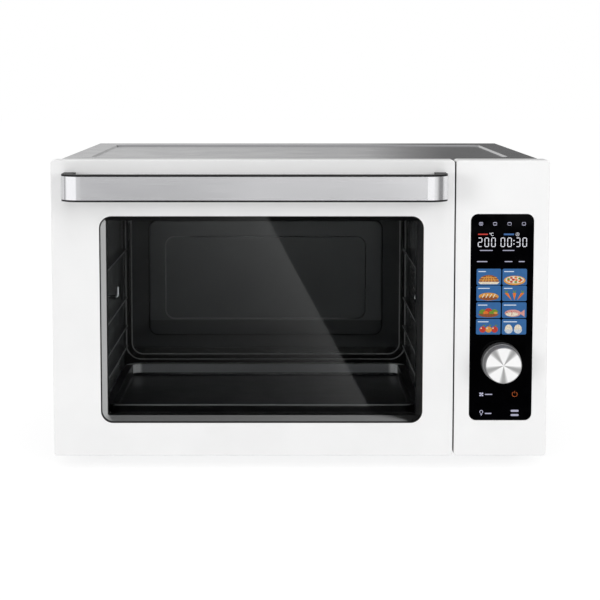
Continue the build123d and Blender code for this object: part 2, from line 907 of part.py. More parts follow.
def door_inner_panel():
    centre = ((door_left + door_right) / 2, (front_bottom + front_top) / 2)
    size = grown((door_width, body_height), -skirt)
    near = door_thickness - inner_panel_thickness
    plate = facing_plate(centre, size, face_corner_radius - skirt, near, door_thickness)
    centre_of_window = (window_x, window_z)
    window = facing_plate(centre_of_window, throat_size(), window_throat_radius, near - 1, door_thickness + 1)
    return plate - window - hinge_notches()


def handle_outline(inset):
    """The handle's plan as a face: a rounded bow standing on the door."""
    width = handle_right - handle_left - 2 * inset
    radius = handle_radius - inset if inset < handle_bar else handle_inner_radius
    reach = handle_reach - inset
    corners = Rectangle(width, reach)
    corners = fillet(corners.vertices().group_by(Axis.Y)[0], radius)
    return Pos(handle_x, front_y - reach / 2) * corners


def handle_layer(inset, z_low, z_high):
    return Pos(0, 0, z_low) * extrude(handle_outline(inset), z_high - z_low)


def band_heights():
    return (handle_z - handle_band_height / 2, handle_z + handle_band_height / 2)


def handle_core():
    low = handle_z - handle_height / 2
    high = handle_z + handle_height / 2
    core = handle_layer(handle_lip_step, low, high) - handle_layer(handle_bar, low - 1, high + 1)
    band_low, band_high = band_heights()
    inside_band = handle_layer(handle_band_thickness, band_low - 1, band_high + 1)
    channel = handle_layer(0, band_low, band_high) - inside_band
    return core - channel


def handle_band():
    low, high = band_heights()
    return handle_layer(0, low, high) - handle_layer(handle_band_thickness, low - 1, high + 1)


def cradle_ears():
    """The near and far faces of the three ears, as offsets from the hinge arm."""
    first = hinge_plate / 2 + hinge_play
    last = first + cradle_plate + spring_bay
    return [(-first - cradle_plate, -first), (first, first + cradle_plate), (last, last + cradle_plate)]


def mirrored_span(x, side, offsets):
    return sorted((x + side * offsets[0], x + side * offsets[1]))


def hinge_cradles():
    """Behind the face at each hinge, three ears that carry the pin."""
    cradles = []
    for x, side in hinge_places:
        ears = cradle_ears()
        low = hinge_z - hinge_head_radius + notch_clearance
        high = hinge_z + cradle_rise
        rear = hinge_depth + hinge_head_radius
        base_low = hinge_z + hinge_head_radius + notch_clearance
        whole = mirrored_span(x, side, (ears[0][0], ears[-1][1]))
        cradle = slab(whole, (face_thickness, face_thickness + cradle_plate), (base_low, high))
        for offsets in ears:
            cradle = cradle + slab(mirrored_span(x, side, offsets), (face_thickness, rear), (low, high))
        bore = across((whole[0] - 1, whole[1] + 1), hinge_depth, hinge_z, hinge_pin_radius + running_gap)
        cradles.append(cradle - bore)
    return Part() + cradles


def hinge_pins():
    pins = []
    for x, side in hinge_places:
        ears = cradle_ears()
        span = mirrored_span(x, side, (ears[0][0] - 1, ears[-1][1] + 1))
        pins.append(across(span, hinge_depth, hinge_z, hinge_pin_radius))
    return Part() + pins


def door_springs():
    """A closing spring round each pin, between the second and the third ear."""
    springs = []
    for x, side in hinge_places:
        ears = cradle_ears()
        start = ears[1][1] + spring_clearance + spring_wire_radius
        length = spring_bay - 2 * (spring_clearance + spring_wire_radius)
        radius = hinge_pin_radius + spring_clearance + spring_wire_radius
        coil = Helix(pitch=length / spring_turns, height=length, radius=radius)
        section = Plane(origin=coil @ 0, z_dir=coil % 0) * Circle(spring_wire_radius)
        wire = sweep(section, path=coil, is_frenet=True)
        place = Plane(origin=at(x + side * start, hinge_depth, hinge_z), z_dir=(side, 0, 0))
        springs.append(place.location * wire)
    return Part() + springs


# Control panel

def control_fascia():
    centre = (glass_x, (front_bottom + front_top) / 2)
    size = (panel_width, body_height)
    pan = facing_plate(centre, size, face_corner_radius, 0, frame_front)
    pan = fillet(pan.faces().sort_by(Axis.Y)[0].edges(), face_edge_radius)
    inner_radius = face_corner_radius - skirt
    hollow = facing_plate(centre, grown(size, -skirt), inner_radius, face_thickness, frame_front + 1)
    opening = (glass_width, glass_height)
    window = facing_plate((glass_x, glass_z), opening, glass_radius, -1, face_thickness + 1)
    return pan - hollow - window


def display_glass():
    size = grown((glass_width, glass_height), -glass_fit)
    plate = facing_plate((glass_x, glass_z), size, glass_radius - glass_fit, flush_step, face_thickness)
    return plate - along((-1, face_thickness + 1), glass_x, knob_z, sleeve_radius + bushing_hole_clearance)


def display_carrier():
    size = grown((glass_width, glass_height), carrier_overlap)
    plate = facing_plate((glass_x, glass_z), size, glass_radius, face_thickness, carrier_rear)
    return plate - along((0, carrier_rear + 1), glass_x, knob_z, sleeve_radius + bushing_hole_clearance)


def display_screen():
    half = glass_width / 2 - screen_side_margin
    high = glass_z + glass_height / 2 - screen_top_margin
    low = knob_z + knob_base_radius + screen_knob_gap
    return slab((glass_x - half, glass_x + half), (carrier_rear, board_front), (low, high))


def control_board():
    half = glass_width / 2 - board_margin
    half_height = glass_height / 2 - board_margin
    rear = board_front + board_thickness
    span = (glass_x - half, glass_x + half)
    board = slab(span, (board_front, rear), (glass_z - half_height, glass_z + half_height))
    reach = chip_side / 2
    chip_depths = (rear, rear + chip_height)
    chip = slab((glass_x - reach, glass_x + reach), chip_depths, (glass_z - reach, glass_z + reach))
    plug_left = glass_x - half + plug_inset
    plug_low = glass_z + plug_rise
    plug_depths = (rear, rear + plug_height)
    plug = slab((plug_left, plug_left + plug_width), plug_depths, (plug_low, plug_low + plug_length))
    sounder_x = glass_x + half - sounder_inset
    sounder = along((rear, rear + sounder_height), sounder_x, glass_z + sounder_rise, sounder_radius)
    return board + chip + plug + sounder


def encoder_body():
    half = encoder_side / 2
    box = slab((glass_x - half, glass_x + half), (carrier_rear, board_front), (knob_z - half, knob_z + half))
    return box - along((0, board_front - sheet), glass_x, knob_z, sleeve_radius + running_gap)


def encoder_sleeve():
    sleeve = along((0, board_front - 2 * sheet), glass_x, knob_z, sleeve_radius)
    return sleeve - along((-1, board_front), glass_x, knob_z, shaft_radius + running_gap)


def knob_shaft():
    return along((-knob_reach / 2, board_front - 2 * sheet - knob_travel), glass_x, knob_z, shaft_radius)


def knob_shell():
    """The knob's side in two bands, hollow at the rear, with a boss on the shaft."""
    rear = -knob_standoff
    front = -knob_reach
    band = rear - knob_band
    wide = knob_base_radius
    narrow = knob_face_radius
    waist = (wide + narrow) / 2
    with BuildPart() as body:
        with BuildSketch(Plane.XY):
            with BuildLine():
                Polyline(
                    (0, -rear), (wide, -rear),
                    (waist + knob_step, -band), (waist, knob_step - band),
                    (narrow, -front), (0, -front),
                    close=True,
                )
            make_face()
        revolve(axis=Axis.Y)
    knob = facing_plane(glass_x, 0, knob_z).location * Rot(-90, 0, 0) * body.part
    knob = fillet(knob.edges().group_by(Axis.Y)[0], 0.5)
    cap_radius = knob_face_radius - knob_cap_margin
    cap_seat = along((front - 1, front + knob_cap_thickness), glass_x, knob_z, cap_radius)
    pocket = along((front + 3 * knob_wall, rear + 1), glass_x, knob_z, narrow - knob_wall)
    boss = along((front + 2 * knob_wall, rear - 1), glass_x, knob_z, knob_boss_radius)
    bore = along((-knob_reach / 2, rear + 1), glass_x, knob_z, shaft_radius)
    return knob - cap_seat - pocket + boss - bore


def knob_cap():
    span = (-knob_reach, -knob_reach + knob_cap_thickness)
    disc = along(span, glass_x, knob_z, knob_face_radius - knob_cap_margin)
    return chamfer(disc.edges().group_by(Axis.Y)[0], knob_cap_thickness / 3)


# Electrics and gland

def power_board():
    """The supply board on four posts, with a transformer, relays and a capacitor."""
    left = partition_right + 3 * sheet
    right = left + power_board_width
    near = frame_rear + foot_setback
    far = near + power_board_length
    low = base_top + power_board_height
    high = low + board_thickness
    middle = (low + high) / 2
    board = slab((left, right), (near, far), (low, high))
    for x in (left + post_inset, right - post_inset):
        for depth in (near + post_inset, far - post_inset):
            board = board + rod(at(x, depth, base_top), at(x, depth, middle), post_radius)
    first = left + part_margin
    start = near + 1.5 * part_margin
    transformer = slab(
        (first, first + transformer_width),
        (start, start + transformer_length),
        (middle, high + transformer_height),
    )
    board = board + transformer
    relay_left = first + transformer_width + relay_gap
    for index in range(relay_count):
        front = start + index * (relay_length + relay_gap)
        depths = (front, front + relay_length)
        board = board + slab((relay_left, relay_left + relay_width), depths, (middle, high + relay_height))
    capacitor_x = first + transformer_width / 2 - relay_gap / 3
    capacitor_depth = far - capacitor_radius - 2 * part_margin
    bottom = at(capacitor_x, capacitor_depth, middle)
    return board + rod(bottom, bottom + Vector(0, 0, capacitor_height), capacitor_radius)


def cord_gland():
    """The cord's bushing, clamped through the rear cover."""
    inside = rear_inside - gland_length + gland_reach + sheet
    body = along((inside, body_depth + 0.5), gland_x, gland_z, gland_radius - running_gap)
    flange = along((body_depth, body_depth + gland_reach), gland_x, gland_z, gland_flange_radius)
    flange = fillet(flange.edges().group_by(Axis.Y)[-1], gland_reach / 3)
    nut = along((rear_inside - gland_reach, rear_inside), gland_x, gland_z, gland_flange_radius)
    bore = along((inside - 1, body_depth + gland_reach + 1), gland_x, gland_z, gland_bore_radius)
    return body + flange + nut - bore


pieces = {
    "housing_cover": housing_cover,
    "rear_cover": rear_cover,
    "rear_screws": rear_screws,
    "base_plate": base_plate,
    "foot_screws": foot_screws,
    "front_frame": front_frame,
    "hinge_brackets": hinge_brackets,
    "door_seal": door_seal,
    "cavity_side_left": cavity_side_left,
    "cavity_side_right": cavity_side_right,
    "cavity_roof": cavity_roof,
    "cavity_floor": cavity_floor,
    "cavity_back": cavity_back,
    "rack_rails_left": rack_rails_left,
    "rack_rails_right": rack_rails_right,
    "baking_tray": baking_tray,
    "heater_top": heater_top,
    "heater_bottom": heater_bottom,
    "heater_clips": heater_clips,
    "thermostat_probe": thermostat_probe,
    "partition": partition,
    "fan_housing": fan_housing,
    "fan_impeller": fan_impeller,
    "fan_shaft": fan_shaft,
    "cooling_blade": cooling_blade,
    "fan_motor": fan_motor,
    "spit_hook": spit_hook,
    "spit_drive": spit_drive,
    "spit_motor": spit_motor,
    "lamp_holder": lamp_holder,
    "lamp_lens": lamp_lens,
    "lamp_bulb": lamp_bulb,
    "door_face": door_face,
    "window_bezel": window_bezel,
    "window_glass": window_glass,
    "door_inner_glass": door_inner_glass,
    "door_inner_panel": door_inner_panel,
    "handle_core": handle_core,
    "handle_band": handle_band,
    "hinge_cradles": hinge_cradles,
    "hinge_pins": hinge_pins,
    "door_springs": door_springs,
    "control_fascia": control_fascia,
    "display_glass": display_glass,
    "display_carrier": display_carrier,
    "display_screen": display_screen,
    "control_board": control_board,
    "encoder_body": encoder_body,
    "encoder_sleeve": encoder_sleeve,
    "knob_shaft": knob_shaft,
    "knob_shell": knob_shell,
    "knob_cap": knob_cap,
    "power_board": power_board,
    "cord_gland": cord_gland,
}

os.makedirs("parts", exist_ok=True)
for name, make in pieces.items():
    export_step(make(), f"parts/{name}.step")
for corner, place in foot_places().items():
    export_step(foot(*place), f"parts/foot_{corner}.step")
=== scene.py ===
import json
import math

import bmesh
import bpy
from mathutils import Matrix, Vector


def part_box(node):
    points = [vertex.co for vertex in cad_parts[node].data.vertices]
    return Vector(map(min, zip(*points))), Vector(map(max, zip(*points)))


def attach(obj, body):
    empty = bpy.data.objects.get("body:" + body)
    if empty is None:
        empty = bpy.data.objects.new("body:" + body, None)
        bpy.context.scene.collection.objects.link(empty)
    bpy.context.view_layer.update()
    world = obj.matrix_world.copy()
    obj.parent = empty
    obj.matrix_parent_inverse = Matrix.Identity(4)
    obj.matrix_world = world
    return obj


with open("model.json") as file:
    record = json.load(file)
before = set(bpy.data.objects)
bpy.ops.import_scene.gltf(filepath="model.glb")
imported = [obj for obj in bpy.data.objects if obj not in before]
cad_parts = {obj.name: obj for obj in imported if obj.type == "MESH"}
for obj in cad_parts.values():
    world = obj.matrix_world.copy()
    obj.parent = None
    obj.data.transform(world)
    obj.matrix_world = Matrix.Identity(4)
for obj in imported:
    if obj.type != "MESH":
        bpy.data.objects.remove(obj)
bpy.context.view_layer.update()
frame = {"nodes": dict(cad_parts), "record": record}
nodes = frame["nodes"]
mm = 0.001
micron = 0.000001


# Places read from the frame

glass_low, glass_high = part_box("display_glass")
glass_x = (glass_low.x + glass_high.x) / 2
cap_low, cap_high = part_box("knob_cap")
knob_centre = (cap_low + cap_high) / 2
window_low, window_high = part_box("window_glass")
face_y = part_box("door_face")[0].y
door_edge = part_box("door_face")[1].x
fascia_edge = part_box("control_fascia")[0].x
tray_low, tray_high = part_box("baking_tray")
cavity_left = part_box("cavity_side_left")[1].x
cavity_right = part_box("cavity_side_right")[0].x
cavity_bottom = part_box("cavity_floor")[1].z
cavity_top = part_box("cavity_roof")[0].z

# The raised field of the cavity's rear wall, by its distances from the sides, the floor and the roof
field_side = 0.033
field_foot = 0.052
field_head = 0.054
field_low = Vector((cavity_left + field_side, 0, cavity_bottom + field_foot))
field_high = Vector((cavity_right - field_side, 0, cavity_top - field_head))


# Camera: the photograph's place, tilted down a little, with the rest of its framing as shift

view_place = Vector((-0.0147, -1.9649, 0.4456))
view_tilt = 5.622


def add_camera():
    data = bpy.data.cameras.new("camera")
    data.lens = 96.74
    data.sensor_width = 36.0
    data.shift_x = 0.022
    data.shift_y = -0.12
    data.clip_start = 0.05
    data.clip_end = 60.0
    camera = bpy.data.objects.new("camera", data)
    camera.location = view_place
    camera.rotation_euler = (math.radians(90 - view_tilt), 0, 0)
    bpy.context.scene.collection.objects.link(camera)
    bpy.context.scene.camera = camera


# Colours

def linear(level):
    """A screen level from 0 to 255 as a linear value."""
    share = level / 255
    return share / 12.92 if share <= 0.04045 else ((share + 0.055) / 1.055) ** 2.4


def paint(red, green=None, blue=None):
    """A colour from screen levels, or a grey from one level."""
    if green is None:
        green = blue = red
    return (linear(red), linear(green), linear(blue), 1.0)


def scaled(colour, share):
    """A colour with each of its parts multiplied by a share."""
    return tuple(min(part * share, 1.0) for part in colour[:3]) + (1.0,)


# Shader nodes

class Nodes:
    """A tree of shader nodes, with helpers that add nodes and do arithmetic with them."""

    def __init__(self, tree):
        self.tree = tree

    def feed(self, socket, value):
        """Gives a socket a plain value or the output of another node."""
        if isinstance(value, bpy.types.NodeSocket):
            self.tree.links.new(value, socket)
        else:
            socket.default_value = value

    def node(self, kind, inputs=None, **settings):
        made = self.tree.nodes.new("ShaderNode" + kind)
        for name, value in settings.items():
            setattr(made, name, value)
        for name, value in (inputs or {}).items():
            self.feed(made.inputs[name], value)
        return made

    def math(self, operation, first, second=0.0):
        return self.node("Math", {0: first, 1: second}, operation=operation).outputs[0]

    def times(self, first, second):
        return self.math("MULTIPLY", first, second)

    def spread(self, source, low, high, start=0.35, end=0.65):
        """Runs from low to high while the source runs from start to end."""
        inputs = {"Value": source, "From Min": start, "From Max": end, "To Min": low, "To Max": high}
        return self.node("MapRange", inputs, clamp=True).outputs["Result"]

    def over(self, source, edge, blur):
        """1 above an edge and 0 below it, with a blur to each side."""
        return self.spread(source, 0, 1, edge - blur, edge + blur)

    def under(self, source, edge, blur):
        """1 below an edge and 0 above it, with a blur to each side."""
        return self.spread(source, 1, 0, edge - blur, edge + blur)

    def within(self, source, low, high, blur):
        """1 between two edges and 0 outside them."""
        return self.times(self.over(source, low, blur), self.under(source, high, blur))

    def blend(self, factor, first, second):
        """The first value where the factor is 0, and the second where it is 1."""
        return self.node("Mix", {"Factor": factor, 2: first, 3: second}, data_type="FLOAT").outputs[0]

    def blend_colours(self, factor, first, second):
        return self.node("Mix", {"Factor": factor, 6: first, 7: second}, data_type="RGBA").outputs[2]

    def ramp(self, factor, stops):
        """A colour that follows a factor from 0 to 1 through stops of place and colour."""
        made = self.node("ValToRGB", {"Fac": factor})
        elements = made.color_ramp.elements
        while len(elements) > 1:
            elements.remove(elements[-1])
        for index, (place, colour) in enumerate(stops):
            element = elements.new(place) if index else elements[0]
            element.position = place
            element.color = colour
        return made.outputs["Color"]


# Materials

class Finish(Nodes):
    """A material in the making: its shader, and helpers that give it grain, tone and relief."""

    def __init__(self, name, colour, roughness, metallic=0.0, sockets=None):
        self.material = bpy.data.materials.new(name)
        self.material.use_nodes = True
        super().__init__(self.material.node_tree)
        self.shader = self.tree.nodes["Principled BSDF"]
        self.colour = colour
        self.base = self.shader.inputs["Base Color"]
        self.base.default_value = colour
        self.shader.inputs["Roughness"].default_value = roughness
        self.shader.inputs["Metallic"].default_value = metallic
        for socket, value in (sockets or {}).items():
            self.shader.inputs[socket].default_value = value
        self.normal = None

    def place(self, stretch=(1, 1, 1), offset=(0, 0, 0)):
        """Object coordinates, drawn out along an axis by its stretch."""
        coordinates = self.node("TexCoord").outputs["Object"]
        scale = tuple(1 / share for share in stretch)
        inputs = {"Vector": coordinates, "Scale": scale, "Location": offset}
        return self.node("Mapping", inputs).outputs["Vector"]

    def along(self, axis, offset=(0, 0, 0)):
        """A point's place along one axis, in metres."""
        return self.node("SeparateXYZ", {"Vector": self.place(offset=offset)}).outputs[axis]

    def grain(self, size, stretch=(1, 1, 1)):
        """Soft noise whose marks are about one size across, in metres."""
        inputs = {"Vector": self.place(stretch), "Scale": 1 / size, "Detail": 2.0}
        return self.node("TexNoise", inputs).outputs["Fac"]

    def flecks(self, size, share):
        """Small round spots that cover about a share of the surface."""
        cells = self.node("TexVoronoi", {"Vector": self.place(), "Scale": 1 / size})
        return self.spread(cells.outputs["Distance"], 1, 0, share * 0.6, share)

    def brush_marks(self, width, length):
        """Fine lines along X on level and facing sides, and along Y on the two flanks."""
        along_x = self.grain(width, (length / width, 1, 1))
        along_y = self.grain(width, (1, length / width, 1))
        return self.blend(self.flank(), along_x, along_y)

    def flank(self):
        """1 on the two sides that face along X, and 0 elsewhere."""
        normal = self.node("NewGeometry").outputs["Normal"]
        turned = self.node("SeparateXYZ", {"Vector": normal}).outputs["X"]
        return self.math("GREATER_THAN", self.math("ABSOLUTE", turned), 0.7)

    def behind_face(self):
        """How far a point lies behind the front of the door, in metres."""
        return self.math("SUBTRACT", self.along("Y"), face_y)

    def outside(self, low, high, inset, radius):
        """Metres outside a rounded rectangle that stands across the depth, negative inside it."""
        offset = tuple(-(low + high) / 2)
        over = []
        for axis, half in (("X", (high.x - low.x) / 2), ("Z", (high.z - low.z) / 2)):
            size = self.math("ABSOLUTE", self.along(axis, offset))
            over.append(self.math("SUBTRACT", size, half - inset - radius))
        squares = [self.math("POWER", self.math("MAXIMUM", part, 0.0), 2.0) for part in over]
        round_part = self.math("SQRT", self.math("ADD", squares[0], squares[1]))
        straight_part = self.math("MINIMUM", self.math("MAXIMUM", over[0], over[1]), 0.0)
        return self.math("SUBTRACT", self.math("ADD", round_part, straight_part), radius)

    def rounded_edges(self, radius):
        """Rounds the shading of sharp edges, as thick enamel does."""
        self.normal = self.node("Bevel", {"Radius": radius}, samples=4).outputs["Normal"]

    def tone(self, source, dark, light):
        """Mixes two colours by a source from 0 to 1 and gives them to the surface."""
        self.feed(self.base, self.blend_colours(source, dark, light))

    def shade(self, source, amount):
        """Tones the surface's own colour down and up by a share of itself."""
        self.tone(self.spread(source, 0, 1), scaled(self.colour, 1 - amount), scaled(self.colour, 1 + amount))

    def graded(self, source, low, high, stops):
        """A grey that follows a source from low to high through stops of value and tone."""
        places = [((value - low) / (high - low), paint(tone)) for value, tone in stops]
        self.feed(self.base, self.ramp(self.spread(source, 0, 1, low, high), places))

    def cover(self, mask, colour):
        """Lays a colour over the surface where a mask is 1."""
        under = self.base.links[0].from_socket
        self.feed(self.base, self.blend_colours(mask, under, colour))

    def rough(self, source, low, high):
        self.feed(self.shader.inputs["Roughness"], self.spread(source, low, high))

    def relief(self, source, height):
        inputs = {"Height": source, "Distance": height, "Strength": 1.0}
        if self.normal is not None:
            inputs["Normal"] = self.normal
        self.normal = self.node("Bump", inputs).outputs["Normal"]
        self.feed(self.shader.inputs["Normal"], self.normal)

    def drawn_along(self, anisotropy):
        """Stretches highlights across the brush marks."""
        normal = self.node("NewGeometry").outputs["Normal"]
        ways = {"Factor": self.flank(), 4: (1, 0, 0), 5: (0, 1, 0)}
        marks = self.node("Mix", ways, data_type="VECTOR").outputs[1]
        across = self.node("VectorMath", {0: normal, 1: marks}, operation="CROSS_PRODUCT")
        self.feed(self.shader.inputs["Tangent"], across.outputs[0])
        self.shader.inputs["Anisotropic"].default_value = anisotropy


def lacquer(name):
    """White paint, with painted shade at the bottom of the gap between the door and the control panel."""
    finish = Finish(name, paint(243), roughness=0.34, sockets={"Specular IOR Level": 0.35})
    finish.shade(finish.grain(0.06), 0.012)
    finish.rough(finish.grain(0.03), 0.30, 0.38)
    finish.relief(finish.grain(0.0012), 4 * micron)
    # Painted shade: the paint is darkened deep in the gap between the door and the control panel
    beside = 0.3 * mm
    in_gap = finish.within(finish.along("X"), door_edge - beside, fascia_edge + beside, 0.1 * mm)
    deep = finish.over(finish.behind_face(), 1.2 * mm, 0.2 * mm)
    finish.cover(finish.times(in_gap, deep), paint(70))
    return finish.material


def brushed_sheet(name):
    finish = Finish(name, paint(158, 158, 160), roughness=0.18, metallic=1.0)
    finish.shade(finish.brush_marks(0.0006, 0.05), 0.05)
    finish.rough(finish.grain(0.04), 0.16, 0.20)
    finish.relief(finish.brush_marks(0.0004, 0.03), 1.2 * micron)
    finish.drawn_along(0.85)
    return finish.material


def brushed_band(name):
    """The handle's steel, with a painted reflection that lightens it towards its right end."""
    finish = Finish(name, paint(222), roughness=0.2, metallic=1.0)
    low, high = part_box("handle_band")
    # Painted reflection: the steel grows lighter along the band towards its right end
    run = finish.spread(finish.along("X"), 0.0, 0.7, low.x, high.x)
    marks = finish.spread(finish.brush_marks(0.0005, 0.06), 0.0, 0.3)
    finish.tone(finish.math("ADD", run, marks), paint(219, 219, 222), paint(243, 243, 245))
    finish.relief(finish.brush_marks(0.0004, 0.05), 1.5 * micron)
    finish.rough(finish.grain(0.02, (4, 1, 1)), 0.18, 0.22)
    finish.drawn_along(0.95)
    return finish.material


def zinc(name):
    """Galvanised sheet with its spangle."""
    finish = Finish(name, paint(178, 181, 184), roughness=0.42, metallic=1.0)
    spangles_per_metre = 130.0
    cells = finish.node("TexVoronoi", {"Vector": finish.place(), "Scale": spangles_per_metre})
    spangle = cells.outputs["Color"]
    finish.shade(spangle, 0.10)
    finish.rough(spangle, 0.36, 0.50)
    finish.relief(finish.grain(0.002), 10 * micron)
    return finish.material


def plated_steel(name):
    finish = Finish(name, paint(190, 190, 188), roughness=0.3, metallic=1.0)
    finish.shade(finish.grain(0.001), 0.08)
    finish.rough(finish.grain(0.0008), 0.24, 0.38)
    return finish.material


def enamel(name, colour, fleck, roughness=0.16):
    """Thick speckled enamel, to which the pieces of the cavity add painted light and shade."""
    finish = Finish(name, colour, roughness, sockets={"Specular IOR Level": 0.6})
    finish.tone(finish.flecks(0.0011, 0.12), colour, fleck)
    finish.rounded_edges(0.8 * mm)
    finish.rough(finish.grain(0.02), roughness * 0.96, roughness * 1.06)
    finish.relief(finish.grain(0.0015), 1.5 * micron)
    return finish


def cavity_enamel(name):
    return enamel(name, paint(40, 41, 42), paint(54, 55, 57)).material


def side_enamel_painted_bands(name):
    """The cavity's sides, with painted highlights and shade in upright bands of different greys along the
    depth.
    """
    finish = enamel(name, paint(46, 47, 48), paint(60))
    wavy = finish.times(finish.grain(0.05, (1, 1, 4)), 6 * mm)
    depth = finish.math("ADD", finish.along("Y"), wavy)
    # Places along the depth with the greys of the painted bands: one for the first and the last band, two for
    # each between
    finish.graded(depth, -0.2, 0.2, (
        (-0.056, 40), (-0.050, 124), (0.012, 124), (0.020, 82), (0.098, 80), (0.104, 20),
        (0.132, 20), (0.138, 60), (0.150, 60), (0.154, 20), (0.170, 20), (0.172, 62),
    ))
    return finish.material


def rear_enamel(name):
    """The cavity's rear wall: paler on its raised field, with painted highlights and painted shade along the
    edges of its ring and step.
    """
    finish = enamel(name, paint(40, 41, 42), paint(54))
    height = finish.along("Z")
    field_radius = 12 * mm
    step_inset = 22 * mm
    field = finish.outside(field_low, field_high, 0.0, field_radius)
    step = finish.outside(field_low, field_high, step_inset, field_radius)

    # The raised field is paler; above a line near its foot it is painted lighter still, leaving painted shade
    # along its foot
    on_field = finish.under(field, 0.0, 0.5 * mm)
    painted_light_above_foot = finish.over(height, field_low.z + 20 * mm, 1 * mm)
    finish.tone(on_field, paint(42, 43, 44), paint(48, 49, 50))
    finish.cover(finish.times(painted_light_above_foot, on_field), paint(76, 77, 78))

    # Painted shade on the step's edge above the field's falling diagonal, and a painted highlight on it below
    offset = tuple(-(field_low + field_high) / 2)
    diagonal = (field_high.z - field_low.z) / (field_high.x - field_low.x)
    lean = finish.math("ADD", finish.times(finish.along("X", offset), diagonal), finish.along("Z", offset))
    step_edge = finish.within(step, -0.7 * mm, 0.7 * mm, 0.2 * mm)
    finish.cover(finish.times(step_edge, finish.over(lean, 0.0, 10 * mm)), paint(6))
    finish.cover(finish.times(step_edge, finish.under(lean, 0.0, 10 * mm)), paint(118))
    # A painted shadow line round the field's edge
    finish.cover(finish.within(field, -0.4 * mm, 0.8 * mm, 0.2 * mm), paint(24))

    # The ring round the wall: painted shade along its foot and outside its inner edge, with painted
    # highlights along both edges
    ring_low = Vector((cavity_left, 0, cavity_bottom + 16.5 * mm))
    ring_high = Vector((cavity_right, 0, cavity_top))
    outer = finish.outside(ring_low, ring_high, 2.5 * mm, 19 * mm)
    inner = finish.outside(ring_low, ring_high, 9.5 * mm, 15 * mm)
    finish.cover(finish.under(height, ring_low.z + 18.5 * mm, 2 * mm), paint(22))
    finish.cover(finish.within(inner, 0.0, 40 * mm, 0.4 * mm), paint(22))
    for edge in (outer, inner):
        finish.cover(finish.within(edge, -0.8 * mm, 0.8 * mm, 0.3 * mm), paint(146))
    return finish.material


def rail_enamel(name):
    """Enamel with painted highlights on the rails' tips."""
    finish = enamel(name, paint(40, 41, 42), paint(52))
    left_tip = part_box("rack_rails_left")[1].x
    right_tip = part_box("rack_rails_right")[0].x
    tip_highlight_reach = 0.8 * mm
    # Painted highlight along the rails' tips
    between = finish.within(finish.along("X"), left_tip - tip_highlight_reach, right_tip + tip_highlight_reach, 0.2 * mm)
    finish.cover(between, paint(150))
    return finish.material


def tray_enamel(name):
    """Black enamel, with a painted reflection on the rear wall, painted glints at its ends, painted shade
    under it and on the outer front wall, and a painted highlight along the front edge.
    """
    finish = enamel(name, paint(20, 20, 21), paint(30, 30, 32), 0.34)
    depth = finish.along("Y")
    height = finish.along("Z")
    middle = (tray_low.x + tray_high.x) / 2
    half = (tray_high.x - tray_low.x) / 2
    sideways = finish.math("ABSOLUTE", finish.math("SUBTRACT", finish.along("X"), middle))
    rear = finish.over(depth, tray_high.y - 16 * mm, 0.6 * mm)
    corner = finish.over(sideways, half - 20 * mm, 2 * mm)
    foot = finish.under(height, tray_low.z + 4.8 * mm, 0.4 * mm)
    front = finish.under(depth, tray_low.y + 11.5 * mm, 0.5 * mm)
    under_rim = finish.under(height, tray_high.z - 1.5 * mm, 0.3 * mm)
    front_edge_highlight = finish.under(depth, tray_low.y + 1.5 * mm, 0.3 * mm)
    # Painted reflection on the rear wall, with painted glints at its ends and a painted shadow line along its
    # foot
    finish.cover(rear, paint(138, 139, 141))
    finish.cover(finish.times(rear, corner), paint(232))
    finish.cover(finish.times(rear, foot), paint(6))
    # Painted shade on the outer front wall below the rim, and a painted highlight along the front edge
    finish.cover(finish.times(front, under_rim), paint(8))
    finish.cover(front_edge_highlight, paint(120))
    return finish.material


def liner_enamel(name):
    """The door's lining, whose window edge is black."""
    finish = enamel(name, paint(34, 34, 35), paint(50, 50, 52), 0.3)
    opening = finish.outside(window_low, window_high, 0.0, 8 * mm)
    finish.cover(finish.under(opening, 2 * mm, 1 * mm), paint(3))
    return finish.material


def heater_steel(name):
    """Steel with the straw and grey of heat."""
    finish = Finish(name, paint(92, 88, 84), roughness=0.45, metallic=1.0)
    finish.tone(finish.spread(finish.grain(0.03), 0, 1), paint(70, 68, 70), paint(122, 112, 98))
    finish.rough(finish.grain(0.004), 0.38, 0.55)
    finish.relief(finish.grain(0.0006), 10 * micron)
    return finish.material


def chrome(name):
    finish = Finish(name, paint(226, 227, 229), roughness=0.08, metallic=1.0)
    finish.rough(finish.grain(0.004), 0.05, 0.12)
    finish.shade(finish.grain(0.01), 0.03)
    return finish.material


def clear_pane(name, gloss_share):
    """Glass that light passes straight through, with a share of its mirror image on the outer side."""
    finish = Finish(name, paint(20), roughness=0.02)
    smears = finish.spread(finish.grain(0.03, (1, 1, 3)), 0.0, 0.01)
    gloss = finish.node("BsdfGlossy", {"Color": (1, 1, 1, 1), "Roughness": smears})
    dull, clean = (0.955, 0.96, 0.96, 1.0), (0.97, 0.975, 0.975, 1.0)
    stain = finish.blend_colours(finish.spread(finish.grain(0.05), 0, 1), dull, clean)
    through = finish.node("BsdfTransparent", {"Color": stain})
    fresnel = finish.node("Fresnel", {"IOR": 1.45}).outputs[0]
    inner_side = finish.node("NewGeometry").outputs["Backfacing"]
    outer_side = finish.spread(inner_side, gloss_share, 0, 0, 1)
    parts = {0: finish.times(fresnel, outer_side), 1: through.outputs[0], 2: gloss.outputs[0]}
    surface = finish.node("MixShader", parts).outputs[0]
    finish.feed(finish.tree.nodes["Material Output"].inputs["Surface"], surface)
    finish.tree.nodes.remove(finish.shader)
    return finish.material


def window_pane(name):
    return clear_pane(name, 1.0)


def inner_pane(name):
    return clear_pane(name, 0.25)


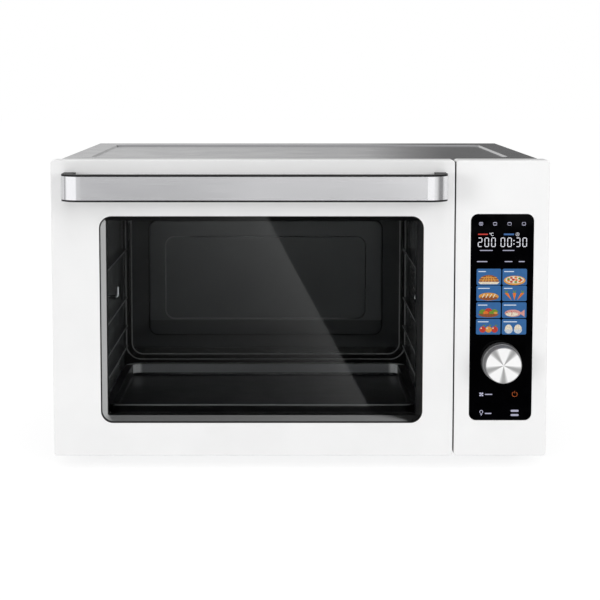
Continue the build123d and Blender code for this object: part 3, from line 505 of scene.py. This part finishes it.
def frame_gloss(name):
    """A dark seal round the glass, a grey bevel behind it with painted shade along its top, and black from
    there inward.
    """
    finish = Finish(name, paint(56), roughness=0.45, sockets={"Specular IOR Level": 0.2})
    bevel = finish.within(finish.behind_face(), 3.4 * mm, 13.4 * mm, 0.1 * mm)
    finish.tone(bevel, paint(3), paint(56))
    # Painted shade: the downward-facing top of the bevel is black, except at its left end
    top = finish.over(finish.along("Z"), window_high.z - 6 * mm, 0.2 * mm)
    inward = finish.over(finish.along("X"), window_low.x + 5.4 * mm, 0.2 * mm)
    finish.cover(finish.times(top, inward), paint(3))
    finish.rough(finish.grain(0.01), 0.42, 0.5)
    finish.relief(finish.grain(0.001), 2 * micron)
    return finish.material


def moulded(name, colour, roughness, size=0.8 * mm, height=30 * micron, specular=0.4):
    """Plastic or rubber with a fine moulded grain."""
    finish = Finish(name, colour, roughness, sockets={"Specular IOR Level": specular})
    finish.shade(finish.grain(0.02), 0.12)
    finish.rough(finish.grain(size * 3), roughness * 0.9, min(roughness * 1.12, 1.0))
    finish.relief(finish.grain(size), height)
    return finish.material


def handle_plastic(name):
    return moulded(name, paint(36, 36, 37), 0.42, 0.5 * mm, 10 * micron, 0.05)


def matte_plastic(name):
    return moulded(name, paint(34), roughness=0.55)


def seal_rubber(name):
    return moulded(name, paint(38), roughness=0.7)


def foot_rubber(name):
    return moulded(name, paint(40), 0.75, 0.6 * mm, 50 * micron)


def knob_plastic(name):
    """Dark at the knob's foot and mid grey along its narrower band."""
    finish = Finish(name, paint(110), roughness=0.32, metallic=0.5)
    foot_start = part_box("knob_shell")[1].y - 9 * mm
    foot = finish.over(finish.along("Y"), foot_start, 0.2 * mm)
    finish.tone(foot, paint(166, 166, 167), paint(104, 104, 105))
    finish.relief(finish.grain(0.0004, (1, 8, 1)), 10 * micron)
    return finish.material


def spun_face(name):
    """Turned metal with fan-shaped painted reflections that run out from the middle."""
    finish = Finish(name, paint(250), roughness=0.3, metallic=0.25, sockets={"Specular IOR Level": 0.5})
    offset = (-knob_centre.x, 0, -knob_centre.z)
    # Painted reflection: lighter and darker fans round the middle, on top of the real ones from the radial
    # grain
    blades = 5.0
    angle = finish.math("ARCTAN2", finish.along("X", offset), finish.along("Z", offset))
    painted_fan_reflection = finish.math("COSINE", finish.times(angle, blades))
    finish.tone(finish.spread(painted_fan_reflection, 0, 1, -0.95, -0.1), paint(168), paint(253))
    grooves_per_metre = 9000.0
    radius = finish.node("VectorMath", {0: finish.place(offset=offset)}, operation="LENGTH").outputs["Value"]
    groove = finish.math("SINE", finish.times(radius, grooves_per_metre))
    finish.relief(finish.spread(groove, 0, 1, -1, 1), 0.8 * micron)
    tangent = finish.node("Tangent", direction_type="RADIAL", axis="Y")
    finish.feed(finish.shader.inputs["Tangent"], tangent.outputs[0])
    finish.shader.inputs["Anisotropic"].default_value = 0.6
    return finish.material


def black_glass(name):
    finish = Finish(name, paint(2, 2, 3), roughness=0.06, sockets={"Specular IOR Level": 0.08})
    finish.rough(finish.grain(0.02), 0.03, 0.09)
    finish.shade(finish.grain(0.01), 0.2)
    return finish.material


def turned_metal(name):
    finish = Finish(name, paint(186), roughness=0.25, metallic=1.0)
    finish.shade(finish.grain(0.0003, (20, 1, 20)), 0.08)
    finish.rough(finish.grain(0.001), 0.2, 0.32)
    return finish.material


def board_mask(name):
    """Solder mask with pale pads and tracks under it."""
    finish = Finish(name, paint(30, 92, 50), roughness=0.35)
    tracks_per_metre = 260.0
    pattern = {"Vector": finish.place(), "Scale": tracks_per_metre, "Mortar Size": 0.02}
    bricks = finish.node("TexBrick", pattern)
    tracks = finish.spread(bricks.outputs["Fac"], 0, 1, 0.2, 0.8)
    finish.tone(tracks, paint(24, 84, 44), paint(66, 128, 74))
    finish.relief(finish.grain(0.001), 20 * micron)
    return finish.material


def motor_metal(name):
    finish = Finish(name, paint(150, 150, 152), roughness=0.38, metallic=0.8)
    finish.shade(finish.grain(0.006), 0.08)
    finish.rough(finish.grain(0.002), 0.3, 0.46)
    finish.relief(finish.grain(0.001), 10 * micron)
    return finish.material


def pressed_metal(name):
    finish = Finish(name, paint(120, 118, 114), roughness=0.4, metallic=1.0)
    finish.shade(finish.grain(0.002), 0.07)
    finish.rough(finish.grain(0.003), 0.28, 0.42)
    return finish.material


finishes = {
    "white_front": lacquer,
    "brushed_housing": brushed_sheet,
    "zinc_sheet": zinc,
    "steel_fasteners": plated_steel,
    "dark_enamel": cavity_enamel,
    "tray_enamel": tray_enamel,
    "heater_tube": heater_steel,
    "bright_chrome": chrome,
    "window_clear": window_pane,
    "bezel_metal": frame_gloss,
    "door_liner": liner_enamel,
    "handle_black": handle_plastic,
    "handle_steel": brushed_band,
    "silicone": seal_rubber,
    "panel_glass": black_glass,
    "black_plastic": matte_plastic,
    "encoder_metal": turned_metal,
    "circuit_board": board_mask,
    "motor_case": motor_metal,
    "fan_metal": pressed_metal,
    "knob_grey": knob_plastic,
    "knob_face": spun_face,
    "foot_rubber": foot_rubber,
}


def dress(piece, material):
    piece.data.materials.clear()
    piece.data.materials.append(material)


def dress_frame():
    """Gives every node of the frame the finish of its slot."""
    made = {slot: make(slot) for slot, make in finishes.items()}
    for part in frame["record"]["subparts"]:
        dress(nodes[part["node"]], made[part["material_slot"]])
    dress(nodes["door_inner_glass"], inner_pane("inner_pane"))
    dress(nodes["cavity_back"], rear_enamel("rear_enamel"))
    sides = side_enamel_painted_bands("side_enamel")
    for side in ("cavity_side_left", "cavity_side_right"):
        dress(nodes[side], sides)
    rails = rail_enamel("rail_enamel")
    for side in ("rack_rails_left", "rack_rails_right"):
        dress(nodes[side], rails)
    dress(nodes["fan_housing"], cavity_enamel("housing_enamel"))


# Flat shapes on the display glass, in millimetres: u to the right of its middle, v down from its top

# How far printed things stand proud of the glass, and how deep they all go into it
mark_lift = 0.05
caption_lift = 0.06
tile_lift = 0.03
layer_lift = 0.008
sunk = 0.02


def bar(left, top, right, bottom):
    return [(left, top), (right, top), (right, bottom), (left, bottom)]


def arc(u, v, radius, start, end, steps, flatten=1.0):
    """Points on an arc, with angles in degrees clockwise from the top."""
    points = []
    for index in range(steps + 1):
        angle = math.radians(start + (end - start) * index / steps)
        points.append((u + radius * math.sin(angle), v - radius * flatten * math.cos(angle)))
    return points


def oval(u, v, width, height):
    """An ellipse of 24 points."""
    return arc(u, v, width / 2, 0, 345, 23, height / width)


def rounded(left, top, right, bottom, radius):
    """A bar with round corners."""
    low, high = top + radius, bottom - radius
    near, far = left + radius, right - radius
    points = []
    for turn, (u, v) in enumerate(((far, low), (far, high), (near, high), (near, low))):
        points += arc(u, v, radius, 90 * turn, 90 * (turn + 1), 5)
    return points


def bow(u, v, radius, width, start, end):
    """A thick open arc."""
    steps = 20
    outer = arc(u, v, radius, start, end, steps)
    inner = arc(u, v, radius - width, start, end, steps)
    return outer + inner[::-1]


def line(start, end, width):
    """A straight stroke from one point to another."""
    first, last = Vector(start), Vector(end)
    run = last - first
    side = Vector((-run.y, run.x)).normalized() * width / 2
    return [tuple(point) for point in (first + side, last + side, last - side, first - side)]


def raised(outlines, lift=mark_lift):
    """Outlines with the lift that they share."""
    return [(outline, lift) for outline in outlines]


def on_glass(point, lift):
    """A place on the display, a little in front of the glass."""
    return Vector((glass_x + point[0] * mm, glass_low.y - lift * mm, glass_high.z - point[1] * mm))


def add_prism(mesh, outline, lift):
    """A closed thin plate that stands on the glass."""
    front = [mesh.verts.new(on_glass(point, lift)) for point in outline]
    back = [mesh.verts.new(on_glass(point, -sunk)) for point in outline]
    mesh.faces.new(front)
    mesh.faces.new(back[::-1])
    for index in range(len(outline)):
        after = (index + 1) % len(outline)
        mesh.faces.new((front[after], front[index], back[index], back[after]))


def add_piece(name, mesh, material):
    """Puts a finished mesh into the scene as an object of its own."""
    data = bpy.data.meshes.new(name)
    mesh.to_mesh(data)
    mesh.free()
    piece = bpy.data.objects.new(name, data)
    bpy.context.scene.collection.objects.link(piece)
    dress(piece, material)
    return piece


def display_piece(name, shapes, material):
    """One piece from several flat outlines, each with its own lift."""
    mesh = bmesh.new()
    for outline, lift in shapes:
        add_prism(mesh, outline, lift)
    bmesh.ops.recalc_face_normals(mesh, faces=mesh.faces)
    piece = add_piece(name, mesh, material)
    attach(piece, "oven")


def lit(name, colour, grain_size=0.0012, amount=0.12):
    """A glowing mark on the screen, uneven as a lit screen is."""
    sockets = {"Specular IOR Level": 0.2, "Emission Strength": 1.0}
    finish = Finish(name, paint(8), roughness=0.35, sockets=sockets)
    source = finish.spread(finish.grain(grain_size), 0, 1)
    glow = finish.blend_colours(source, scaled(colour, 1 - amount), colour)
    finish.feed(finish.shader.inputs["Emission Color"], glow)
    finish.relief(finish.grain(0.0006), 5 * micron)
    return finish.material


# Screen: numerals, icons, marks and captions

# The bars of a numeral, by column and row of their ends
segment_ends = {
    "top": ((0, 0), (1, 0)),
    "upper_left": ((0, 0), (0, 1)),
    "upper_right": ((1, 0), (1, 1)),
    "middle": ((0, 1), (1, 1)),
    "lower_left": ((0, 1), (0, 2)),
    "lower_right": ((1, 1), (1, 2)),
    "bottom": ((0, 2), (1, 2)),
}

# Which bars each digit shows
digit_segments = {
    0: ("top", "upper_left", "upper_right", "lower_left", "lower_right", "bottom"),
    2: ("top", "upper_right", "middle", "lower_left", "bottom"),
    3: ("top", "upper_right", "middle", "lower_right", "bottom"),
}


def segment(start, end, width):
    """One bar of a numeral, pointed at both ends."""
    unit = (Vector(end) - Vector(start)).normalized()
    side = Vector((-unit.y, unit.x)) * width / 2
    gap = unit * width / 4
    first = Vector(start) + gap
    last = Vector(end) - gap
    near = first + unit * width / 2
    far = last - unit * width / 2
    return [tuple(point) for point in (first, near + side, far + side, last, far - side, near - side)]


def numeral(value, left, top, width, height, stroke):
    """The bars of one digit."""
    outlines = []
    for name in digit_segments[value]:
        start, end = ((left + column * width, top + row * height / 2) for column, row in segment_ends[name])
        outlines.append(segment(start, end, stroke))
    return outlines


def numerals():
    """A temperature and a time: 200 and 00:30."""
    shapes = []
    width, height, stroke, top = 4.1, 9.6, 0.8, 26.3
    temperature = ((2, -26.6), (0, -19.2), (0, -11.8))
    clock = ((0, -1.4), (0, 6.0), (3, 15.4), (0, 22.8))
    for value, left in temperature + clock:
        shapes += numeral(value, left, top, width, height, stroke)
    colon, dot = 12.9, 1.3
    for share in (0.3, 0.7):
        shapes.append(oval(colon, top + height * share, dot, dot))
    return raised(shapes)


def heat_icons():
    """Four small pictures of ways to heat: all round, both, from above, from below."""
    shapes = []
    middle, half, wall, corner = 10.6, 2.1, 0.45, 0.9
    thick, thin = 0.7, 0.35
    reach = half - corner
    icons = ((-23.7, thick, thick), (-8.2, thick, thick), (7.8, thick, thin), (23.6, thin, thick))
    for u, above, below in icons:
        top, bottom = middle - 2 * corner, middle + 2 * corner
        for turn, (side, end) in enumerate(((1, -1), (1, 1), (-1, 1), (-1, -1))):
            centre = (u + side * reach, middle + end * corner)
            shapes.append(bow(*centre, corner, wall, 90 * turn, 90 * (turn + 1)))
        shapes.append(bar(u - half, middle - corner, u - half + wall, middle + corner))
        shapes.append(bar(u + half - wall, middle - corner, u + half, middle + corner))
        shapes.append(bar(u - reach, top, u + reach, top + above))
        shapes.append(bar(u - reach, bottom - below, u + reach, bottom))
    # Two stripes inside the first picture
    for v in (middle - 0.5, middle + 0.3):
        shapes.append(bar(-24.8, v, -22.6, v + 0.4))
    return raised(shapes)


def unit_marks():
    """A degree ring with its letter, and a clock."""
    return raised([
        bow(-13.6, 21.3, 0.75, 0.35, 0, 350),
        bow(-10.9, 22.3, 1.8, 0.5, 135, 405),
        bow(16.8, 22.3, 2.0, 0.35, 0, 356),
        line((16.8, 22.4), (16.8, 21.0), 0.4),
        line((16.7, 22.3), (17.7, 22.9), 0.4),
    ])


def words(left, middle, right, height):
    """A plain rounded bar that stands where a caption is."""
    half = height * 0.28
    return rounded(left, middle - half, right, middle + half, half * 0.9)


def captions():
    """The bars in place of captions, by left end, middle line, right end and height of the letters."""
    places = (
        (-24.8, 40.2, -10.4, 1.7), (0.5, 40.2, 13.5, 1.7),
        (-27.8, 52.6, -16.2, 1.9), (2.9, 52.6, 11.5, 1.9), (18.4, 52.6, 25.1, 1.9),
        (-17.2, 201.8, -9.0, 2.0), (-17.0, 223.4, -9.6, 2.2),
        (11.8, 220.4, 20.7, 4.0), (11.8, 225.2, 20.7, 4.0),
    )
    return raised([words(*place) for place in places])


# Screen: tiles with pictures of food

tile_columns = ((-27.9, -0.8), (0.7, 27.8))
tile_rows = ((60.6, 78.8), (79.4, 96.7), (98.1, 115.7), (116.8, 134.2))
tile_places = [(left, top, right, bottom) for top, bottom in tile_rows for left, right in tile_columns]
tile_radius = 1.6
caption_lengths = (8.5, 11.0, 13.0, 9.5, 10.5, 14.0, 12.0, 15.0)
caption_inset = 1.8
caption_drop = 3.1
picture_foot = 3.4


def tiles():
    """The grounds of the pictures."""
    return raised([rounded(*place, tile_radius) for place in tile_places], tile_lift)


def tile_captions():
    """One bar in place of a caption at the top left of each tile."""
    shapes = []
    for (left, top, right, bottom), length in zip(tile_places, caption_lengths):
        start = left + caption_inset
        shapes.append(words(start, top + caption_drop, start + length, 1.8))
    return raised(shapes, caption_lift)


# Each picture stands on a point u, v and gives colours, outlines and layers, higher ones in front


def pie(u, v):
    """A domed pie with a lattice, in a dish."""
    radius = 11
    shapes = [("crust", arc(u, v, radius, 270, 450, 20, 0.72), 1)]
    for shift in (-7, -3.5, 0, 3.5, 7):
        height = 7.2 * (1 - (shift / radius) ** 2) ** 0.5
        shapes.append(("gold", line((u + shift, v - 0.4), (u + shift * 0.6, v - height), 1.1), 2))
    for share in (0.3, 0.62):
        half = radius * (1 - share ** 2) ** 0.5
        height = v - 7.9 * share
        shapes.append(("gold", bar(u - half, height - 0.5, u + half, height + 0.5), 3))
    shapes.append(("pale", [(u - 12, v - 0.2), (u + 12, v - 0.2), (u + 9.5, v + 2.4), (u - 9.5, v + 2.4)], 2))
    return shapes


def tart(u, v):
    """A flat tart with round fruit on it."""
    shapes = [
        ("gold", oval(u, v - 1.8, 24, 10.5), 1),
        ("pale", oval(u, v - 2.4, 20.5, 8), 2),
    ]
    for index in range(9):
        angle = math.radians(index * 40)
        colour = ("red", "orange", "leaf")[index % 3]
        spot = (u + 7.2 * math.cos(angle), v - 2.4 + 2.5 * math.sin(angle))
        shapes.append((colour, oval(*spot, 3.2, 2.2), 3))
    shapes.append(("red", oval(u - 1.5, v - 2.6, 3.6, 2.4), 3))
    shapes.append(("orange", oval(u + 2, v - 2.2, 3.2, 2.2), 4))
    return shapes


def loaf(u, v):
    """A long loaf with slashes across it."""
    shapes = [("gold", oval(u, v - 1.6, 22, 8.6), 1), ("crust", oval(u, v + 0.2, 20, 4.6), 2)]
    for shift in (-6, -2, 2, 6):
        shapes.append(("pale", line((u + shift - 1.1, v - 0.4), (u + shift + 1.3, v - 4.4), 0.9), 3))
    return shapes


def carrots(u, v):
    """Three carrots with two leaves each."""
    shapes = []
    for lean, shift in ((-3, -6), (0, 0), (3, 6)):
        top = (u + shift + lean, v - 5.6)
        tip = (u + shift - lean, v + 2.6)
        shapes.append(("orange", [(top[0] - 2, top[1]), (top[0] + 2, top[1]), tip], 2))
        for side in (-1.6, 1.6):
            shapes.append(("leaf", line(top, (top[0] + side, top[1] - 2.8), 0.9), 1))
    return shapes


def pepper_bowl(u, v):
    """Peppers and leaves in a wide bowl."""
    return [
        ("leaf", oval(u - 6, v - 3.4, 9, 6), 1),
        ("red", oval(u, v - 4.4, 8, 6.4), 2),
        ("leaf", oval(u + 6.4, v - 3.6, 8.4, 5.6), 1),
        ("orange", oval(u - 3, v - 2.4, 6, 4), 3),
        ("leaf", oval(u + 3, v - 2.6, 5, 3.4), 3),
        ("gold", oval(u + 8, v - 2.2, 4, 3), 3),
        ("crust", arc(u, v - 1.2, 11.4, 90, 270, 16, 0.34), 4),
    ]


def fish(u, v):
    """A fish that looks to the left, with a gill and an eye."""
    return [
        ("pink", oval(u - 1.5, v - 2, 18, 8), 2),
        ("pink", [(u + 6, v - 2), (u + 11.5, v - 6), (u + 11.5, v + 2)], 1),
        ("pale", oval(u - 2.5, v - 0.8, 14, 4.4), 3),
        ("red", bow(u - 5, v - 2, 3, 0.6, 30, 150), 4),
        ("crust", oval(u - 8, v - 3, 1.2, 1.2), 4),
    ]


def apples(u, v):
    """Three apples with stalks and leaves."""
    shapes = []
    for shift, colour in ((-6.2, "red"), (0.4, "gold"), (7.0, "red")):
        shapes.append((colour, oval(u + shift, v - 2.2, 7.4, 7.0), 1))
        shapes.append(("crust", line((u + shift, v - 5.2), (u + shift + 0.6, v - 7.4), 0.6), 3))
        shapes.append(("leaf", oval(u + shift + 1.8, v - 6.8, 2.6, 1.3), 3))
        shapes.append(("pale", oval(u + shift - 1.7, v - 3.6, 1.4, 1.8), 3))
    return shapes


def egg_cups(u, v):
    """Two eggs in cups."""
    shapes = []
    for shift in (-6.0, 4.4):
        shapes.append(("pale", oval(u + shift, v - 3.0, 8.2, 9.6), 1))
        shapes.append(("cup", arc(u + shift, v - 2.2, 4.6, 90, 270, 14), 2))
    return shapes


def pictures():
    """Every tile's picture, sorted by colour."""
    makers = (pie, tart, loaf, carrots, pepper_bowl, fish, apples, egg_cups)
    by_colour = {}
    for (left, top, right, bottom), make in zip(tile_places, makers):
        for colour, outline, layer in make((left + right) / 2, bottom - picture_foot):
            by_colour.setdefault(colour, []).append((outline, tile_lift + layer_lift * layer))
    return by_colour


# Keys under the knob

def key_marks():
    """A fan and a lamp."""
    fan_u, fan_v, blade_reach = -21.2, 201.8, 1.7
    shapes = []
    for turn in range(4):
        angle = math.radians(45 + 90 * turn)
        u, v = fan_u + blade_reach * math.sin(angle), fan_v - blade_reach * math.cos(angle)
        shapes.append(oval(u, v, 2.0, 1.8))
    shapes.append(oval(fan_u, fan_v, 1.2, 1.2))
    shapes.append(bow(-21.0, 221.6, 2.0, 0.6, 215, 505))
    shapes.append(bar(-21.9, 223.5, -20.1, 224.6))
    shapes.append([(-21.6, 225.1), (-20.4, 225.1), (-21.0, 226.2)])
    return raised(shapes)


def power_mark():
    """An open ring with a stroke."""
    stroke = 0.38
    return raised([bow(16.1, 201.6, 3.0, stroke, 30, 330), line((16.1, 198.0), (16.1, 200.6), stroke)])


food_colours = {
    "crust": paint(150, 84, 44),
    "gold": paint(226, 158, 72),
    "pale": paint(240, 228, 206),
    "cup": paint(206, 214, 222),
    "red": paint(196, 62, 46),
    "orange": paint(232, 122, 40),
    "leaf": paint(112, 146, 46),
    "pink": paint(222, 160, 152),
}


def dress_display():
    """Puts every printed and lit thing on the display."""
    white = lit("screen_white", paint(246, 247, 255))
    icon = lit("screen_icon", paint(186, 186, 208))
    caption = lit("screen_caption", paint(176, 176, 198))
    red = lit("screen_red", paint(206, 62, 52))
    blue = lit("screen_blue", paint(62, 104, 160))
    tile = lit("screen_tile", paint(47, 98, 153), 0.004, 0.08)
    tile_text = lit("screen_tile_text", paint(212, 222, 236))
    display_piece("screen_numerals", numerals(), white)
    display_piece("screen_icons", heat_icons(), icon)
    display_piece("screen_units", unit_marks(), white)
    display_piece("screen_captions", captions(), caption)
    display_piece("screen_heat_bar", raised([bar(-26.8, 21.6, -16.0, 22.9)]), red)
    display_piece("screen_time_bar", raised([bar(1.6, 21.4, 12.9, 23.2)]), blue)
    display_piece("screen_tiles", tiles(), tile)
    display_piece("screen_tile_captions", tile_captions(), tile_text)
    for colour, shapes in pictures().items():
        display_piece(f"picture_{colour}", shapes, lit(f"food_{colour}", food_colours[colour], 0.0009, 0.4))
    display_piece("key_marks", key_marks(), lit("key_white", paint(196, 196, 220)))
    display_piece("power_mark", power_mark(), lit("key_orange", paint(196, 96, 40)))


# Floor, light and surroundings

def add_floor():
    """A wide white floor. The camera sees it as white, with the object's soft shadow on it."""
    reach = 12.0
    mesh = bmesh.new()
    corners = [mesh.verts.new((x * reach, y * reach, 0)) for x, y in ((-1, -1), (1, -1), (1, 1), (-1, 1))]
    mesh.faces.new(corners)
    finish = Finish("floor", paint(250), roughness=0.9, sockets={"Specular IOR Level": 0.0})
    finish.shade(finish.grain(0.5), 0.01)
    matte = finish.shader.outputs[0]
    glow_strength, matte_share = 1.235, 0.35
    glow = finish.node("Emission", {"Color": (1, 1, 1, 1), "Strength": glow_strength}).outputs[0]
    bright = finish.node("MixShader", {0: matte_share, 1: glow, 2: matte}).outputs[0]
    seen = finish.node("LightPath").outputs["Is Camera Ray"]
    surface = finish.node("MixShader", {0: seen, 1: matte, 2: bright}).outputs[0]
    finish.feed(finish.tree.nodes["Material Output"].inputs["Surface"], surface)
    floor = add_piece("floor", mesh, finish.material)
    floor.visible_glossy = False


# What a mirror sees round the object: degrees from straight in front, positive to the right, and tone
ring = (
    (-180, 0.68),
    (-172, 0.80),
    (-150, 0.80),
    (-142, 0.70),
    (-116, 0.90),
    (-106, 0.45),
    (-96, 0.84),
    (-91, 1.23),
    (-33, 1.23),
    (-30, 0.78),
    (-9, 0.71),
    (-8, 0.87),
    (2, 0.93),
    (4.8, 1.07),
    (5.0, 1.35),
    (9.5, 1.33),
    (11, 1.05),
    (39, 1.05),
    (45, 0.87),
    (57, 0.76),
    (67, 0.45),
    (73, 0.28),
    (94, 0.28),
    (101, 0.74),
    (118, 0.78),
    (128, 0.62),
    (150, 0.80),
    (164, 0.20),
    (175.0, 0.18),
    (177.0, 0.60),
    (180, 0.66),
)


def slope_to(x, z):
    """Where a mirror on the door's plane at this place looks: its sideways and upward slopes."""
    distance = face_y - view_place.y
    return ((x - view_place.x) / distance, (z - view_place.z) / distance)


def ring_tone(sky, x, y):
    """The panels of the ring as one strip of tones."""
    azimuth = sky.math("ARCTAN2", x, sky.times(y, -1.0))
    share = sky.spread(azimuth, 0, 1, -math.pi, math.pi)
    # A colour stop goes up to 1, so the strip holds the tones at half their strength
    stops = []
    for degrees, level in ring:
        stops.append((degrees / 360 + 0.5, (level / 2, level / 2, level / 2, 1)))
    return sky.times(sky.ramp(share, stops), 2.0)


def with_low_part(sky, x, y, z, panel):
    """Adds what the window and the display mirror, in front and low down: dark, with a lighter wedge."""
    ahead = sky.math("MAXIMUM", sky.times(y, -1.0), 0.02)
    side = sky.math("DIVIDE", x, ahead)
    rise = sky.math("DIVIDE", z, ahead)

    # The wedge ends sharply at a line through two places on the window, and fades out to its left
    low_side, low_rise = slope_to(0.0863, 0.0525)
    high_side, high_rise = slope_to(-0.0364, 0.2834)
    slant = (low_side - high_side) / (low_rise - high_rise)
    edge = sky.math("ADD", sky.times(sky.math("SUBTRACT", rise, high_rise), slant), high_side)
    past_edge = sky.math("SUBTRACT", side, edge)
    fade_width = 0.039
    fade = sky.math("EXPONENT", sky.math("DIVIDE", sky.math("MINIMUM", past_edge, 0.0), fade_width))
    tray_line = slope_to(0.0, 0.0706)[1]
    above_tray = sky.spread(rise, 0.1, 1, tray_line - 0.0004, tray_line + 0.0004)
    wedge_tone, dark_tone = 0.85, 0.01
    wedge = sky.times(fade, sky.times(above_tray, wedge_tone))
    low_part = sky.blend(sky.over(past_edge, 0.0, 0.0008), wedge, dark_tone)

    # The low part's limits as slopes, each with the blur of its edge
    top, bottom, left, right = (-0.087, 0.003), (-0.31, 0.03), (-0.1375, 0.0075), (0.18, 0.01)
    upright = sky.times(sky.under(rise, *top), sky.over(rise, *bottom))
    across = sky.times(sky.over(side, *left), sky.under(side, *right))
    in_front = sky.under(y, -0.07, 0.05)
    return sky.blend(sky.times(sky.times(upright, across), in_front), panel, low_part)


def add_world():
    """A white studio for the camera, even light for matte surfaces, and soft panels for glossy ones."""
    ambient, ceiling, ground = 0.60, 0.9, 0.75
    world = bpy.data.worlds.new("studio")
    world.use_nodes = True
    bpy.context.scene.world = world
    world.cycles.sampling_method = "NONE"
    sky = Nodes(world.node_tree)
    direction = sky.node("TexCoord").outputs["Generated"]
    parts = sky.node("SeparateXYZ", {"Vector": direction})
    x, y, z = (parts.outputs[axis] for axis in ("X", "Y", "Z"))
    glossy = with_low_part(sky, x, y, z, ring_tone(sky, x, y))
    glossy = sky.blend(sky.over(z, 0.7, 0.15), glossy, ceiling)
    glossy = sky.blend(sky.under(z, -0.6, 0.15), glossy, ground)
    path = sky.node("LightPath")
    strength = sky.blend(path.outputs["Is Glossy Ray"], ambient, glossy)
    open_rays = sky.math("MAXIMUM", path.outputs["Is Camera Ray"], path.outputs["Is Transmission Ray"])
    background = sky.tree.nodes["Background"]
    background.inputs["Color"].default_value = (1, 1, 1, 1)
    sky.feed(background.inputs["Strength"], sky.blend(open_rays, strength, 1.0))


def add_lamp(name, place, target, power, size):
    """A round soft lamp that is not seen itself, in the camera or in a mirror."""
    data = bpy.data.lights.new(name, "AREA")
    data.shape = "DISK"
    data.size = size
    data.energy = power
    lamp = bpy.data.objects.new(name, data)
    lamp.location = place
    lamp.rotation_euler = (Vector(target) - Vector(place)).to_track_quat("-Z", "Y").to_euler()
    bpy.context.scene.collection.objects.link(lamp)
    lamp.visible_glossy = False
    lamp.visible_camera = False
    return lamp


def light_only(lamps, pieces):
    """These lamps light only these pieces."""
    lit_pieces = bpy.data.collections.new("lit_pieces")
    for piece in pieces:
        lit_pieces.objects.link(piece)
    for lamp in lamps:
        lamp.light_linking.receiver_collection = lit_pieces


def shade_only(lamp, pieces):
    """Only these pieces cast shadows from this lamp."""
    blockers = bpy.data.collections.new("blockers")
    for piece in pieces:
        blockers.objects.link(piece)
    lamp.light_linking.blocker_collection = blockers


def add_lamps():
    """Three lamps for everything but the window's bezel, and one from the right for that alone."""
    middle = (0, -0.19, 0.18)
    key = add_lamp("key_lamp", (-3.6, -3.8, 0.62), middle, power=61.0, size=1.7)
    fill = add_lamp("fill_lamp", (3.0, -3.6, 1.2), middle, power=52.0, size=2.4)
    top = add_lamp("top_lamp", (0.0, -0.9, 3.2), middle, power=13.0, size=1.6)
    bezel = nodes["window_bezel"]
    others = [piece for piece in bpy.context.scene.objects if piece.type == "MESH" and piece != bezel]
    light_only((key, fill, top), others)
    reveal_target = (window_low.x, face_y, 0.17)
    reveal = add_lamp("reveal_lamp", (1.6, -0.65, 0.3), reveal_target, power=405.0, size=0.4)
    light_only([reveal], [bezel])
    shade_only(reveal, [bezel])


def use_plain_colours():
    """Shows colours as they are, without a film look."""
    bpy.context.scene.view_settings.view_transform = "Standard"


add_camera()
dress_frame()
dress_display()
add_floor()
add_world()
add_lamps()
use_plain_colours()
